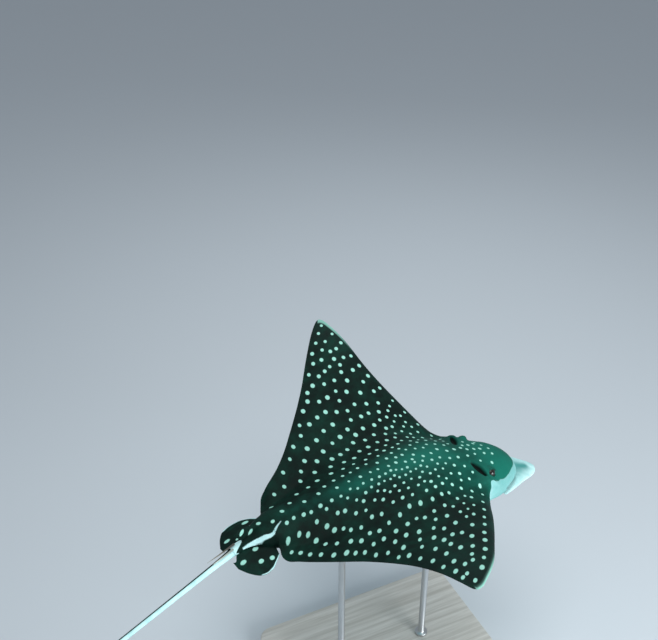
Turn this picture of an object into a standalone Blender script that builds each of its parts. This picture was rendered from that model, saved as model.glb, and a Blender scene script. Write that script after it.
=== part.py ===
# Spotted eagle ray, a life-size still model on a plain display stand.
#
# The ray faces -Y with its left wing on +X. The origin is the middle of the
# stand's underside. Lengths of the animal are fractions of its disc width:
# "back" is the distance behind the snout lobe's tip, "out" the distance from
# the middle line, "up" the height over the wings' level. The body is worked
# out straight and level, and pose() then bends it.

import math

import bmesh
import bpy
import numpy as np

# Size and place
DISC_WIDTH = 1.5
BODY_HEIGHT = 0.75
STAND_BACK = 0.37
GAP = 0.0003

# Outline of the disc, (back, out)
HEAD_SIDE = [(0.062, 0.000), (0.067, 0.026), (0.080, 0.044), (0.100, 0.059), (0.122, 0.0730), (0.146, 0.0815)]
WING_FRONT = [(0.170, 0.0865), (0.186, 0.100), (0.203, 0.127), (0.247, 0.215), (0.303, 0.325), (0.348, 0.415),
              (0.383, 0.468), (0.406, 0.4955), (0.4142, 0.500)]
WING_REAR = [(0.4142, 0.500), (0.4205, 0.495), (0.4306, 0.465), (0.4454, 0.400), (0.469, 0.310), (0.514, 0.215),
             (0.571, 0.141), (0.6125, 0.101), (0.6255, 0.086), (0.6310, 0.070)]
HIP_SIDE = [(0.6350, 0.0450), (0.652, 0.0350), (0.668, 0.0255), (0.685, 0.0175), (0.700, 0.0125), (0.720, 0.0085)]
WING_TIP_BACK = 0.4142

# Heights along the middle line, (back, up)
BACK_TOP = [(0.062, -0.012), (0.067, 0.000), (0.080, 0.013), (0.102, 0.0245), (0.130, 0.033), (0.160, 0.0385),
            (0.200, 0.047), (0.250, 0.057), (0.300, 0.063), (0.400, 0.059), (0.500, 0.044), (0.600, 0.027),
            (0.650, 0.019), (0.685, 0.0125), (0.720, 0.0080)]
BELLY_DEPTH = [(0.062, 0.014), (0.067, 0.021), (0.080, 0.0235), (0.118, 0.0235), (0.1205, 0.043), (0.170, 0.043),
               (0.240, 0.036), (0.500, 0.036), (0.600, 0.027), (0.650, 0.019), (0.685, 0.0130), (0.720, 0.0080)]
# Height of the outline itself: low along the cheeks, high where the wings
# leave the head beside the eyes, level in the wings
EDGE_LEVEL = [(0.062, -0.013), (0.110, -0.014), (0.140, -0.005), (0.168, 0.012), (0.178, 0.010), (0.190, 0.001),
              (0.205, -0.007), (0.230, -0.003), (0.260, 0.000), (0.720, 0.000)]

# How far the raised back and the deep belly reach out, and how sharply they
# fade into the wings: 0.5 gives a round side, 2 a bell that runs out flat
BACK_REACH = [(0.168, 0.087), (0.240, 0.115), (0.330, 0.150), (0.450, 0.130), (0.560, 0.080),
              (0.6350, 0.0450)]
BACK_FADE = [(0.062, 0.50), (0.108, 0.50), (0.130, 0.68), (0.146, 0.95), (0.168, 1.60), (0.205, 1.75),
             (0.250, 1.8), (0.450, 2.0), (0.580, 1.3), (0.6350, 0.50)]
# How square the belly's cross-section is: 2 is round
BELLY_POWER = [(0.062, 4.0), (0.115, 4.5), (0.135, 8.0), (0.170, 8.0), (0.215, 4.5), (0.260, 4.0), (0.720, 4.0)]
BELLY_FADE = [(0.062, 0.50), (0.120, 0.45), (0.168, 0.45), (0.195, 0.80), (0.250, 1.8), (0.450, 2.0), (0.580, 1.3),
              (0.6350, 0.50)]
NECK_START = 0.168
# Wing section: root thickness, the least thickness added outside it, the
# factor that makes the peak of sqrt(c) (1 - c) equal 1, and the top's share
WING_THICKNESS = 0.046
WING_TIP_THICKNESS = 0.010
WING_PEAK = 2.598
WING_TOP_SHARE = 0.6
WING_START = (0.120, 0.070)
WING_END = 0.631
TOP_SWELL = (0.0, 0.12)
BELLY_SWELL = (0.03, 0.10)
EDGE_THICKNESS = 0.0010

# Bends: wing slope at root, then its change with span and span squared, then
# twist (slope per unit of chord ahead of the twist axis) at root and its
# change with span, then how far the tip is swept forward, and how far the
# inner rear corner is tucked forward and lowered
LEFT_WING = dict(root=0.320, linear=0.425, square=-0.708, twist=-0.384, twist_out=0.174, sweep=0.108,
                 tuck=0.006, lower=0.0)
RIGHT_WING = dict(root=0.203, linear=1.221, square=-1.062, twist=-0.086, twist_out=-0.533, sweep=-0.042,
                  tuck=-0.008, lower=0.006)
WING_ROOT_OUT = 0.07
TWIST_BACK = 0.36
NECK_BACK = 0.25
NECK_DROP = 0.24
# Where the wings' bend fades in and out: (start, length) out from the middle,
# behind the neck, and ahead of the hips
BEND_OUT = (0.03, 0.08)
BEND_NECK = (0.14, 0.06)
BEND_HIP = (0.635, 0.03)
# Inner rear corners: (start, length) behind, outwards, and ahead of the hips
CORNER_BACK = (0.50, 0.11)
CORNER_OUT = (0.035, 0.045)
CORNER_HIP = (0.635, 0.004)
# Tail direction along its length, (back, radians)
TAIL_DROOP = [(0.500, 0.0), (0.550, -0.03), (0.615, -0.02), (0.710, 0.305), (1.05, 0.305), (1.60, 0.02),
              (2.40, -0.02)]
TAIL_SWING = [(0.520, 0.0), (0.575, -0.02), (0.625, -0.01), (0.712, 0.20), (1.05, 0.20), (1.60, 0.05),
              (2.40, -0.12)]

# Snout lobe, (back, half width), its top's height, how far the front of its
# top dips, its thickness, the share of it above the rim, and the rim's share
LOBE_SIDE = [(-0.012, 0.000), (-0.006, 0.0130), (0.018, 0.032), (0.060, 0.051), (0.095, 0.066), (0.1175, 0.074)]
LOBE_TOP = -0.0243
LOBE_DIP = 0.006
LOBE_DIP_LENGTH = 0.05
LOBE_UPPER = 0.45
LOBE_RIM = 0.12
LOBE_THICKNESS = [(-0.012, 0.005), (0.030, 0.011), (0.070, 0.0155), (0.1175, 0.019)]

# Pelvic fin outline (back, out), thickness, the level of its root as a share of
# the belly's depth, its outward slope, and its free, rounded rear end
PELVIC_SPAN = [(0.6375, 0.056), (0.655, 0.068), (0.672, 0.0755), (0.690, 0.0765), (0.705, 0.0720),
               (0.720, 0.0560), (0.732, 0.033)]
PELVIC_THICKNESS = 0.0052
PELVIC_LEVEL = 0.60
PELVIC_SLOPE = 0.24
PELVIC_ROOT_SHARE = 0.96
PELVIC_ROOT_END = 0.716
PELVIC_TRAIL = 0.02
PELVIC_TRAIL_WIDTH = 0.016
PELVIC_RIM = 0.25

# Dorsal fin, spines and tail
DORSAL_FIN_BACK = (0.655, 0.694)
DORSAL_FIN_HEIGHT = 0.027
DORSAL_FIN_THICKNESS = 0.0036
DORSAL_FIN_LEAN = 0.40
DORSAL_FIN_PEAK = 0.72
DORSAL_FIN_DROP = 0.30
# Spines: (back, length, side, lift of the point), and their cross-section
SPINES = {"upper": (0.708, 0.064, 0.0042, 0.0085), "lower": (0.716, 0.050, -0.0042, 0.0050)}
SPINE_HALF_WIDTH = 0.0026
SPINE_HALF_THICKNESS = 0.0011
SPINE_CLEARANCE = 0.0017
TAIL_RADIUS = [(0.720, 0.0085), (0.750, 0.0067), (0.800, 0.0058), (1.00, 0.0048), (1.40, 0.0034),
               (1.90, 0.0021), (2.37, 0.0009)]
TAIL_START = 0.720
TAIL_CUTS = (0.720, 1.20, 1.75, 2.37)

# Eyes
EYE_BACK = 0.162
EYE_OUT = 0.0570
EYE_UP = 0.0238
EYE_RADIUS = 0.0165

# Cuts between the nodes
HEAD_CUT = 0.172
WING_CUT = 0.088
TAIL_BASE_CUT = 0.650

# Stand
BASE_WIDTH = 0.50
BASE_LENGTH = 0.74
BASE_THICKNESS = 0.030
BASE_CORNER = 0.05
ROD_BACKS = (0.265, 0.475)
ROD_RADIUS = 0.011
PAD_RADIUS = 0.026
PAD_THICKNESS = 0.006
COLLAR_RADIUS = 0.022
COLLAR_HEIGHT = 0.009
FILLET = 0.012


def curve_through(points, x):
    """Smooth curve through the points that never overshoots them."""
    px, py = np.array(points, float).T
    x = np.clip(np.asarray(x, float), px[0], px[-1])
    step = np.diff(px)
    slope = np.diff(py) / step
    tangent = np.zeros(len(px))
    inner = slope[:-1] * slope[1:] > 0
    left = 2 * step[1:] + step[:-1]
    right = step[1:] + 2 * step[:-1]
    before = np.where(inner, slope[:-1], 1.0)
    behind = np.where(inner, slope[1:], 1.0)
    tangent[1:-1] = np.where(inner, (left + right) / (left / before + right / behind), 0.0)
    tangent[0] = slope[0]
    tangent[-1] = slope[-1]
    k = np.clip(np.searchsorted(px, x, side="right") - 1, 0, len(px) - 2)
    t = (x - px[k]) / step[k]
    return (py[k] * (1 + 2 * t) * (1 - t) ** 2 + py[k + 1] * t * t * (3 - 2 * t)
            + step[k] * (tangent[k] * t * (1 - t) ** 2 - tangent[k + 1] * t * t * (1 - t)))


def ease(x):
    """0 below 0, 1 above 1, smooth between."""
    x = np.clip(x, 0.0, 1.0)
    return x * x * (3 - 2 * x)


def fade_in(x, window):
    """0 before the window's start, 1 after its length."""
    return ease((x - window[0]) / window[1])


def fade_out(x, window):
    """1 well before the window's end, 0 from there on."""
    return ease((window[0] - x) / window[1])


FRONT_EDGE = HEAD_SIDE + WING_FRONT
REAR_EDGE = WING_REAR + HIP_SIDE
BACK_ROW = np.linspace(FRONT_EDGE[0][0], WING_TIP_BACK, 1200)
FRONT_ROW = curve_through(FRONT_EDGE, BACK_ROW)
REAR_BACK_ROW = np.linspace(WING_TIP_BACK, REAR_EDGE[-1][0], 1200)
REAR_ROW = curve_through(REAR_EDGE, REAR_BACK_ROW)


def half_span(back):
    """Distance from the middle line to the outline."""
    return np.where(back < WING_TIP_BACK, np.interp(back, BACK_ROW, FRONT_ROW),
                    np.interp(back, REAR_BACK_ROW, REAR_ROW))


def chord_place(back, out):
    """0 at the wing's front edge, 1 at its rear edge, straight behind each other."""
    front = np.interp(out, FRONT_ROW, BACK_ROW)
    rear = np.interp(-out, -REAR_ROW, REAR_BACK_ROW)
    return np.clip((back - front) / np.maximum(rear - front, 1e-6), 0.0, 1.0)


def body_heights(back, out):
    """Top and bottom of the straight body at places (back, out), before the pose."""
    span = half_span(back)
    level = curve_through(EDGE_LEVEL, back)
    reach = np.minimum(np.where(back < NECK_START, span, curve_through(BACK_REACH, back)), span)
    share = out / np.maximum(reach, 1e-9)
    inside = np.clip(1 - share ** 2, 0.0, 1.0)
    hump = (curve_through(BACK_TOP, back) - level) * inside ** curve_through(BACK_FADE, back) + level
    belly_inside = np.clip(1 - share ** curve_through(BELLY_POWER, back), 0.0, 1.0)
    belly = (curve_through(BELLY_DEPTH, back) + level) * belly_inside ** curve_through(BELLY_FADE, back) - level
    spread = np.clip((out - WING_ROOT_OUT) / (0.5 - WING_ROOT_OUT), 0.0, 1.0)
    chord = chord_place(back, out)
    profile = WING_PEAK * np.sqrt(chord) * (1 - chord)
    wing = WING_THICKNESS * (1 - spread) ** 1.25 + WING_TIP_THICKNESS * (1 - spread) ** 0.4
    wing = wing * profile * fade_in(back, WING_START) * (back < WING_END)
    above = WING_TOP_SHARE * wing * fade_in(out, TOP_SWELL)
    below = (1 - WING_TOP_SHARE) * wing * fade_in(out, BELLY_SWELL)
    edge = 0.5 * EDGE_THICKNESS
    return hump + above + edge, -(belly + below + edge)


PATH_BACK = np.linspace(-0.02, 2.40, 2421)
PATH_DROOP = np.where(PATH_BACK < NECK_BACK, -NECK_DROP * (1 - PATH_BACK / NECK_BACK), 0.0)
PATH_DROOP = PATH_DROOP + curve_through(TAIL_DROOP, PATH_BACK)
PATH_SWING = curve_through(TAIL_SWING, PATH_BACK)


def path_sum(rate):
    total = np.concatenate([[0.0], np.cumsum(0.5 * (rate[1:] + rate[:-1]) * np.diff(PATH_BACK))])
    return total - np.interp(NECK_BACK, PATH_BACK, total)


PATH_X = path_sum(-np.cos(PATH_DROOP) * np.sin(PATH_SWING))
PATH_Y = path_sum(np.cos(PATH_DROOP) * np.cos(PATH_SWING)) + NECK_BACK
PATH_Z = path_sum(-np.sin(PATH_DROOP))


def pose(points):
    """Bend straight-body points (back, side, up) and place them in metres, ray facing -Y."""
    back, side, up = np.asarray(points, float).T
    out = np.abs(side)
    left = side >= 0
    wing = {key: np.where(left, LEFT_WING[key], RIGHT_WING[key]) for key in LEFT_WING}
    samples = (np.arange(32) + 0.5) / 32
    along = out[:, None] * samples
    reach = np.maximum(along - WING_ROOT_OUT, 0.0) / (0.5 - WING_ROOT_OUT)
    twist = wing["twist"][:, None] + wing["twist_out"][:, None] * reach
    rise = (wing["root"][:, None] + wing["linear"][:, None] * reach + wing["square"][:, None] * reach ** 2
            + twist * (TWIST_BACK - back)[:, None])
    is_disc = fade_in(back, BEND_NECK) * fade_out(back, BEND_HIP)
    rise = rise * fade_in(along, BEND_OUT) * is_disc[:, None]
    end_reach = np.maximum(out - WING_ROOT_OUT, 0.0) / (0.5 - WING_ROOT_OUT)
    end_rise = (wing["root"] + wing["linear"] * end_reach + wing["square"] * end_reach ** 2
                + (wing["twist"] + wing["twist_out"] * end_reach) * (TWIST_BACK - back))
    end_rise = end_rise * fade_in(out, BEND_OUT) * is_disc
    out_bent = out * np.cos(rise).mean(axis=1) - up * np.sin(end_rise)
    up_bent = out * np.sin(rise).mean(axis=1) + up * np.cos(end_rise)
    rear = fade_in(back, CORNER_BACK) * fade_in(out, CORNER_OUT) * fade_out(back, CORNER_HIP)
    back_bent = back - wing["sweep"] * end_reach ** 2 - wing["tuck"] * rear
    up_bent = up_bent - wing["lower"] * rear
    side_bent = np.where(left, 1, -1) * out_bent
    # carry the cross-section along the bent middle line
    droop = np.interp(back, PATH_BACK, PATH_DROOP)
    swing = np.interp(back, PATH_BACK, PATH_SWING)
    x = np.interp(back, PATH_BACK, PATH_X) + side_bent * np.cos(swing) - up_bent * np.sin(droop) * np.sin(swing)
    y = (np.interp(back, PATH_BACK, PATH_Y) + back_bent - back + side_bent * np.sin(swing)
         + up_bent * np.sin(droop) * np.cos(swing))
    z = np.interp(back, PATH_BACK, PATH_Z) + up_bent * np.cos(droop)
    place = np.stack([x, y - STAND_BACK, z], axis=1) * DISC_WIDTH
    return place + np.array([0.0, 0.0, BODY_HEIGHT])


def make_object(name, mesh_data, collection, material):
    mesh_data.materials.append(material)
    item = bpy.data.objects.new(name, mesh_data)
    collection.objects.link(item)
    return item


def loft(name, rings):
    """Closed mesh through equal rings of posed points, flat at both ends."""
    count = len(rings[0])
    corners = [tuple(point) for ring in rings for point in ring]
    faces = [tuple(range(count))]
    for i in range(len(rings) - 1):
        here = i * count
        there = here + count
        for j in range(count):
            after = (j + 1) % count
            faces.append((here + j, there + j, there + after, here + after))
    last = (len(rings) - 1) * count
    faces.append(tuple(range(last + count - 1, last - 1, -1)))
    mesh_data = bpy.data.meshes.new(name)
    mesh_data.from_pydata(corners, [], faces)
    shaped = bmesh.new()
    shaped.from_mesh(mesh_data)
    bmesh.ops.recalc_face_normals(shaped, faces=shaped.faces)
    shaped.to_mesh(mesh_data)
    shaped.free()
    return mesh_data


def keep_side(source, name, planes):
    """Copy of a closed mesh cut by planes (point, normal), keeping what the normals point to."""
    cut = bmesh.new()
    cut.from_mesh(source)
    for point, normal in planes:
        found = bmesh.ops.bisect_plane(cut, geom=cut.verts[:] + cut.edges[:] + cut.faces[:], dist=1e-6,
                                       plane_co=point, plane_no=normal, clear_inner=True)
        rim = [part for part in found["geom_cut"] if isinstance(part, bmesh.types.BMEdge)]
        bmesh.ops.holes_fill(cut, edges=rim, sides=0)
    bmesh.ops.recalc_face_normals(cut, faces=cut.faces)
    mesh_data = bpy.data.meshes.new(name)
    cut.to_mesh(mesh_data)
    cut.free()
    return mesh_data


def body_rings():
    stations = np.concatenate([
        0.062 + 0.030 * np.linspace(0.12, 1.0, 6) ** 2,
        [0.105, 0.118, 0.1205, 0.132, 0.145, 0.157, 0.168],
        np.linspace(0.178, 0.400, 19),
        [0.407, 0.411, WING_TIP_BACK, 0.4175, 0.421, 0.426],
        np.linspace(0.432, 0.510, 9),
        np.linspace(0.525, 0.615, 7),
        [0.6215, 0.6275, 0.631, 0.635, 0.6375, 0.641, 0.645, 0.652, 0.665, 0.680, 0.700, TAIL_START - GAP]])
    steps = np.linspace(-1.0, 1.0, 21)
    across = 0.55 * steps + 0.45 * np.sin(0.5 * np.pi * steps)
    rings = []
    for back in stations:
        side = half_span(back) * across
        here = np.full(len(side), back)
        top, bottom = body_heights(here, np.abs(side))
        upper = np.stack([here, side, top], axis=1)
        lower = np.stack([here, side, bottom], axis=1)[::-1]
        rings.append(pose(np.concatenate([upper, lower])))
    return rings


def lens_ring(back, inner, outer, middle, thickness, count=6):
    """Ring across a fin: pointed-oval section from its root line out to its edge."""
    part = np.linspace(0.0, 1.0, count)
    side = inner + (outer - inner) * part
    half = 0.5 * thickness * (1 - 0.8 * part ** 2)
    here = np.full(count, back)
    upper = np.stack([here, side, middle + half], axis=1)
    lower = np.stack([here, side, middle - half], axis=1)[::-1]
    return np.concatenate([upper, lower])


def pelvic_fin_rings(sign):
    backs = np.array([PELVIC_SPAN[0][0], 0.641, 0.645, 0.652, 0.665, 0.680, 0.692, 0.703, 0.713, 0.721, 0.727,
                      0.7314])
    rings = []
    for back in backs:
        outer = curve_through(PELVIC_SPAN, back)
        root = PELVIC_ROOT_SHARE * half_span(back) + 3 * GAP / DISC_WIDTH
        trail = fade_in(back, (PELVIC_ROOT_END, PELVIC_TRAIL))
        inner = root + (outer - PELVIC_TRAIL_WIDTH - root) * trail
        end = np.sin(0.5 * np.pi * np.clip((PELVIC_SPAN[-1][0] + 0.0005 - back) / PELVIC_TRAIL, 0.0, 1.0))
        start = fade_in(back, (PELVIC_SPAN[0][0] - 0.008, 0.016))
        thickness = PELVIC_THICKNESS * (PELVIC_RIM + (1 - PELVIC_RIM) * min(end, start))
        ring = lens_ring(back, inner, outer, 0.0, thickness)
        ring[:, 2] -= PELVIC_LEVEL * curve_through(BELLY_DEPTH, back) + PELVIC_SLOPE * (ring[:, 1] - root)
        ring[:, 1] *= sign
        rings.append(pose(ring))
    return rings


def dorsal_fin_rings():
    start, end = DORSAL_FIN_BACK
    rings = []
    for part in np.linspace(0.0, 1.0, 7):
        back = start + (end - start) * part
        top, bottom = body_heights(np.array([back]), np.array([0.0]))
        rise = DORSAL_FIN_HEIGHT * (0.10 + 0.90 * np.sin(0.5 * np.pi * min(1.0, part / DORSAL_FIN_PEAK)) ** 0.8)
        rise = rise * (1.0 - DORSAL_FIN_DROP * max(0.0, part - 0.8) / 0.2)
        foot = float(top[0]) + 1.6 * GAP / DISC_WIDTH
        lean = DORSAL_FIN_LEAN * rise
        half = 0.5 * DORSAL_FIN_THICKNESS * (0.35 + 0.65 * math.sin(math.pi * (0.08 + 0.84 * part)))
        levels = [0.0, 0.5, 0.85, 1.0]
        widths = [1.0, 0.8, 0.5, 0.25]
        right = [(back + lean * k, -half * w, foot + rise * k) for k, w in zip(levels, widths)]
        left = [(back + lean * k, half * w, foot + rise * k) for k, w in zip(levels, widths)][::-1]
        rings.append(pose(np.array(right + left)))
    return rings


def spine_rings(back, length, side, lift):
    """A flat tapering barb that rises a little off the tail."""
    rings = []
    for part in (0.0, 0.06, 0.3, 0.6, 0.85, 0.97, 1.0):
        here = back + length * part
        top = tail_or_body_radius(here)
        middle = top + SPINE_CLEARANCE + lift * part + GAP / DISC_WIDTH
        blunt = 0.7 if part == 0.0 else 1.0
        wide = SPINE_HALF_WIDTH * (1 - 0.93 * part ** 1.6) * blunt
        thick = SPINE_HALF_THICKNESS * (1 - 0.80 * part ** 1.6) * blunt
        turn = np.arange(6) * math.pi / 3
        ring = np.stack([np.full(6, here), side + wide * np.cos(turn), middle + thick * np.sin(turn)], axis=1)
        rings.append(pose(ring))
    return rings


def tail_or_body_radius(back):
    if back < TAIL_START:
        return float(curve_through(BACK_TOP, back)) + 0.5 * EDGE_THICKNESS
    return float(curve_through(TAIL_RADIUS, back))


def tail_rings(start, end, count, sides=10):
    rings = []
    turn = np.arange(sides) * 2 * math.pi / sides
    for back in np.linspace(start, end, count):
        radius = float(curve_through(TAIL_RADIUS, back))
        ring = np.stack([np.full(sides, back), radius * np.cos(turn), radius * np.sin(turn)], axis=1)
        rings.append(pose(ring))
    return rings


def lobe_rings():
    backs = np.concatenate([[-0.0112, -0.009, -0.004, 0.005], np.linspace(0.018, 0.1175, 8)])
    steps = np.linspace(-1.0, 1.0, 11)
    across = 0.5 * steps + 0.5 * np.sin(0.5 * np.pi * steps)
    rings = []
    for back in backs:
        width = curve_through(LOBE_SIDE, back)
        thick = curve_through(LOBE_THICKNESS, back)
        top_middle = LOBE_TOP - LOBE_DIP * fade_out(back, (LOBE_DIP_LENGTH, LOBE_DIP_LENGTH))
        side = width * across
        swell = thick * (LOBE_RIM + (1 - LOBE_RIM) * np.clip(1 - across ** 2, 0.0, 1.0) ** 0.5)
        here = np.full(len(side), back)
        middle = top_middle - LOBE_UPPER * thick
        upper = np.stack([here, side, middle + LOBE_UPPER * swell], axis=1)
        lower = np.stack([here, side, middle - (1 - LOBE_UPPER) * swell], axis=1)[::-1]
        rings.append(pose(np.concatenate([upper, lower])))
    return rings


def surface_material(name, colour, roughness, metallic=0.0):
    made = bpy.data.materials.new(name)
    made.use_nodes = True
    shader = made.node_tree.nodes["Principled BSDF"]
    shader.inputs["Base Color"].default_value = (*colour, 1.0)
    shader.inputs["Roughness"].default_value = roughness
    shader.inputs["Metallic"].default_value = metallic
    return made


def eye_ball(name, sign, radius):
    """Ball set in the side of the head; the socket is the same ball a gap larger."""
    shaped = bmesh.new()
    bmesh.ops.create_uvsphere(shaped, u_segments=12, v_segments=8, radius=radius)
    mesh_data = bpy.data.meshes.new(name)
    shaped.to_mesh(mesh_data)
    shaped.free()
    place = pose(np.array([[EYE_BACK, sign * EYE_OUT, EYE_UP]]))[0]
    return mesh_data, tuple(place)


def cut_sockets(head, cutters):
    for sign, side in ((1, "left"), (-1, "right")):
        mesh_data, place = eye_ball("socket_" + side, sign, EYE_RADIUS + GAP)
        socket = bpy.data.objects.new("socket_" + side, mesh_data)
        socket.location = place
        socket.hide_render = True
        socket.display_type = "WIRE"
        cutters.objects.link(socket)
        cut = head.modifiers.new("eye socket " + side, "BOOLEAN")
        cut.object = socket
        cut.operation = "DIFFERENCE"


def base_plate():
    """Flat plate with rounded corners and softened edges."""
    centre_x = BASE_WIDTH / 2 - BASE_CORNER
    centre_y = BASE_LENGTH / 2 - BASE_CORNER
    outline = []
    for quarter, (sx, sy) in enumerate(((1, 1), (-1, 1), (-1, -1), (1, -1))):
        for step in range(6):
            angle = (quarter + step / 5) * math.pi / 2
            outline.append((sx * centre_x + BASE_CORNER * math.cos(angle),
                            sy * centre_y + BASE_CORNER * math.sin(angle), 0.0))
    shaped = bmesh.new()
    bottom = shaped.faces.new([shaped.verts.new(corner) for corner in outline])
    raised = bmesh.ops.extrude_face_region(shaped, geom=[bottom])
    lifted = [part for part in raised["geom"] if isinstance(part, bmesh.types.BMVert)]
    bmesh.ops.translate(shaped, verts=lifted, vec=(0.0, 0.0, BASE_THICKNESS))
    bmesh.ops.recalc_face_normals(shaped, faces=shaped.faces)
    mesh_data = bpy.data.meshes.new("stand_base")
    shaped.to_mesh(mesh_data)
    shaped.free()
    return mesh_data


def rod_profile(foot, head):
    """Half outline of a rod with a collar at its foot and a flat pad at its top."""
    return [(0.0, head), (PAD_RADIUS, head), (PAD_RADIUS, head - PAD_THICKNESS),
            (ROD_RADIUS, head - PAD_THICKNESS - FILLET), (ROD_RADIUS, foot + COLLAR_HEIGHT + 0.3 * FILLET),
            (COLLAR_RADIUS, foot + COLLAR_HEIGHT), (COLLAR_RADIUS, foot), (0.0, foot)]


def stand_rod(name, back, collection, material):
    top, bottom = body_heights(np.array([back]), np.array([0.0]))
    belly = pose(np.array([[back, 0.0, float(bottom[0])]]))[0]
    profile = rod_profile(BASE_THICKNESS + GAP, belly[2] - GAP)
    mesh_data = bpy.data.meshes.new(name)
    mesh_data.from_pydata([(r, 0.0, z) for r, z in profile], [(i, i + 1) for i in range(len(profile) - 1)], [])
    rod = make_object(name, mesh_data, collection, material)
    rod.location = (0.0, belly[1], 0.0)
    turned = rod.modifiers.new("turned", "SCREW")
    turned.steps = 16
    turned.render_steps = 16
    turned.use_merge_vertices = True
    turned.merge_threshold = 0.00005


def main():
    for item in list(bpy.data.objects):
        bpy.data.objects.remove(item, do_unlink=True)
    ray = bpy.data.collections.new("spotted_eagle_ray")
    cutters = bpy.data.collections.new("cutters")
    bpy.context.scene.collection.children.link(ray)
    bpy.context.scene.collection.children.link(cutters)

    back_skin = surface_material("dark_back_skin", (0.012, 0.045, 0.038), 0.45)
    pale_skin = surface_material("pale_skin", (0.72, 0.82, 0.80), 0.45)
    tail_skin = surface_material("tail_skin", (0.60, 0.72, 0.70), 0.45)
    eye_gloss = surface_material("eye_gloss", (0.010, 0.012, 0.012), 0.10)
    spine_bone = surface_material("spine_bone", (0.62, 0.58, 0.48), 0.40)
    board = surface_material("stand_board", (0.56, 0.54, 0.50), 0.45)
    steel = surface_material("stand_steel", (0.55, 0.56, 0.57), 0.32, 1.0)

    whole = loft("whole_body", body_rings())
    half_gap = 0.5 * GAP
    neck = (HEAD_CUT - STAND_BACK) * DISC_WIDTH
    rump = (TAIL_BASE_CUT - STAND_BACK) * DISC_WIDTH
    root = WING_CUT * DISC_WIDTH
    behind_neck = ((0.0, neck + half_gap, 0.0), (0.0, 1.0, 0.0))
    pieces = {
        "head": [((0.0, neck - half_gap, 0.0), (0.0, -1.0, 0.0))],
        "trunk": [behind_neck, ((0.0, rump - half_gap, 0.0), (0.0, -1.0, 0.0)),
                  ((root - half_gap, 0.0, 0.0), (-1.0, 0.0, 0.0)),
                  ((half_gap - root, 0.0, 0.0), (1.0, 0.0, 0.0))],
        "wing_left": [behind_neck, ((root + half_gap, 0.0, 0.0), (1.0, 0.0, 0.0))],
        "wing_right": [behind_neck, ((-root - half_gap, 0.0, 0.0), (-1.0, 0.0, 0.0))],
        "tail_base": [((0.0, rump + half_gap, 0.0), (0.0, 1.0, 0.0))],
    }
    for name, planes in pieces.items():
        made = make_object(name, keep_side(whole, name, planes), ray, back_skin)
        if name == "head":
            cut_sockets(made, cutters)
    bpy.data.meshes.remove(whole)

    make_object("snout_lobe", loft("snout_lobe", lobe_rings()), ray, pale_skin)
    for sign, side in ((1, "left"), (-1, "right")):
        make_object("pelvic_fin_" + side, loft("pelvic_fin_" + side, pelvic_fin_rings(sign)), ray, back_skin)
        mesh_data, place = eye_ball("eye_" + side, sign, EYE_RADIUS)
        make_object("eye_" + side, mesh_data, ray, eye_gloss).location = place
    make_object("dorsal_fin", loft("dorsal_fin", dorsal_fin_rings()), ray, back_skin)
    for side, numbers in SPINES.items():
        make_object("tail_spine_" + side, loft("tail_spine_" + side, spine_rings(*numbers)), ray, spine_bone)
    for number, name in enumerate(("tail_root", "tail_middle", "tail_whip")):
        start = TAIL_CUTS[number]
        end = TAIL_CUTS[number + 1] - (GAP / DISC_WIDTH if number < 2 else 0.0)
        make_object(name, loft(name, tail_rings(start, end, 10)), ray, tail_skin)

    make_object("stand_base", base_plate(), ray, board)
    for back, name in zip(ROD_BACKS, ("stand_rod_front", "stand_rod_rear")):
        stand_rod(name, back, ray, steel)


main()
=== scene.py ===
import math

import bpy
import numpy as np
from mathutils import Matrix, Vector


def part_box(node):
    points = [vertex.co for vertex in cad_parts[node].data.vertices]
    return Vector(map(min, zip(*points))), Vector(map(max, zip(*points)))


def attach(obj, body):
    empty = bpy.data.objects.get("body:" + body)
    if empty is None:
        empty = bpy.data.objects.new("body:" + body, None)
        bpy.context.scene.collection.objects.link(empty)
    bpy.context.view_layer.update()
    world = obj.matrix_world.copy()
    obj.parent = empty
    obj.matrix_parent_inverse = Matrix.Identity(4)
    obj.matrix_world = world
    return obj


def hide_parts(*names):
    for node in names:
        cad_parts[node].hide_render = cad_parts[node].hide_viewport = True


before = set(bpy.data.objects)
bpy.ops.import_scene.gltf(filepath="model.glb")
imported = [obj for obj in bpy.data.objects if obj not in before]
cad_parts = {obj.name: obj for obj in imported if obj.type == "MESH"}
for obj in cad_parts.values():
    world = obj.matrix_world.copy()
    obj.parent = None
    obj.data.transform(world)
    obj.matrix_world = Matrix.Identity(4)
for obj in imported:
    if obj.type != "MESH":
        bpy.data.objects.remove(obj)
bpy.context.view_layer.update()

# Spotted eagle ray on a plain display stand. Lengths of the animal are shares of its
# disc width: back (behind the lobe's tip), side (left is plus) and up. Everything is
# worked out on a straight, level body, and bendBody() then poses it, in metres.

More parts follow.
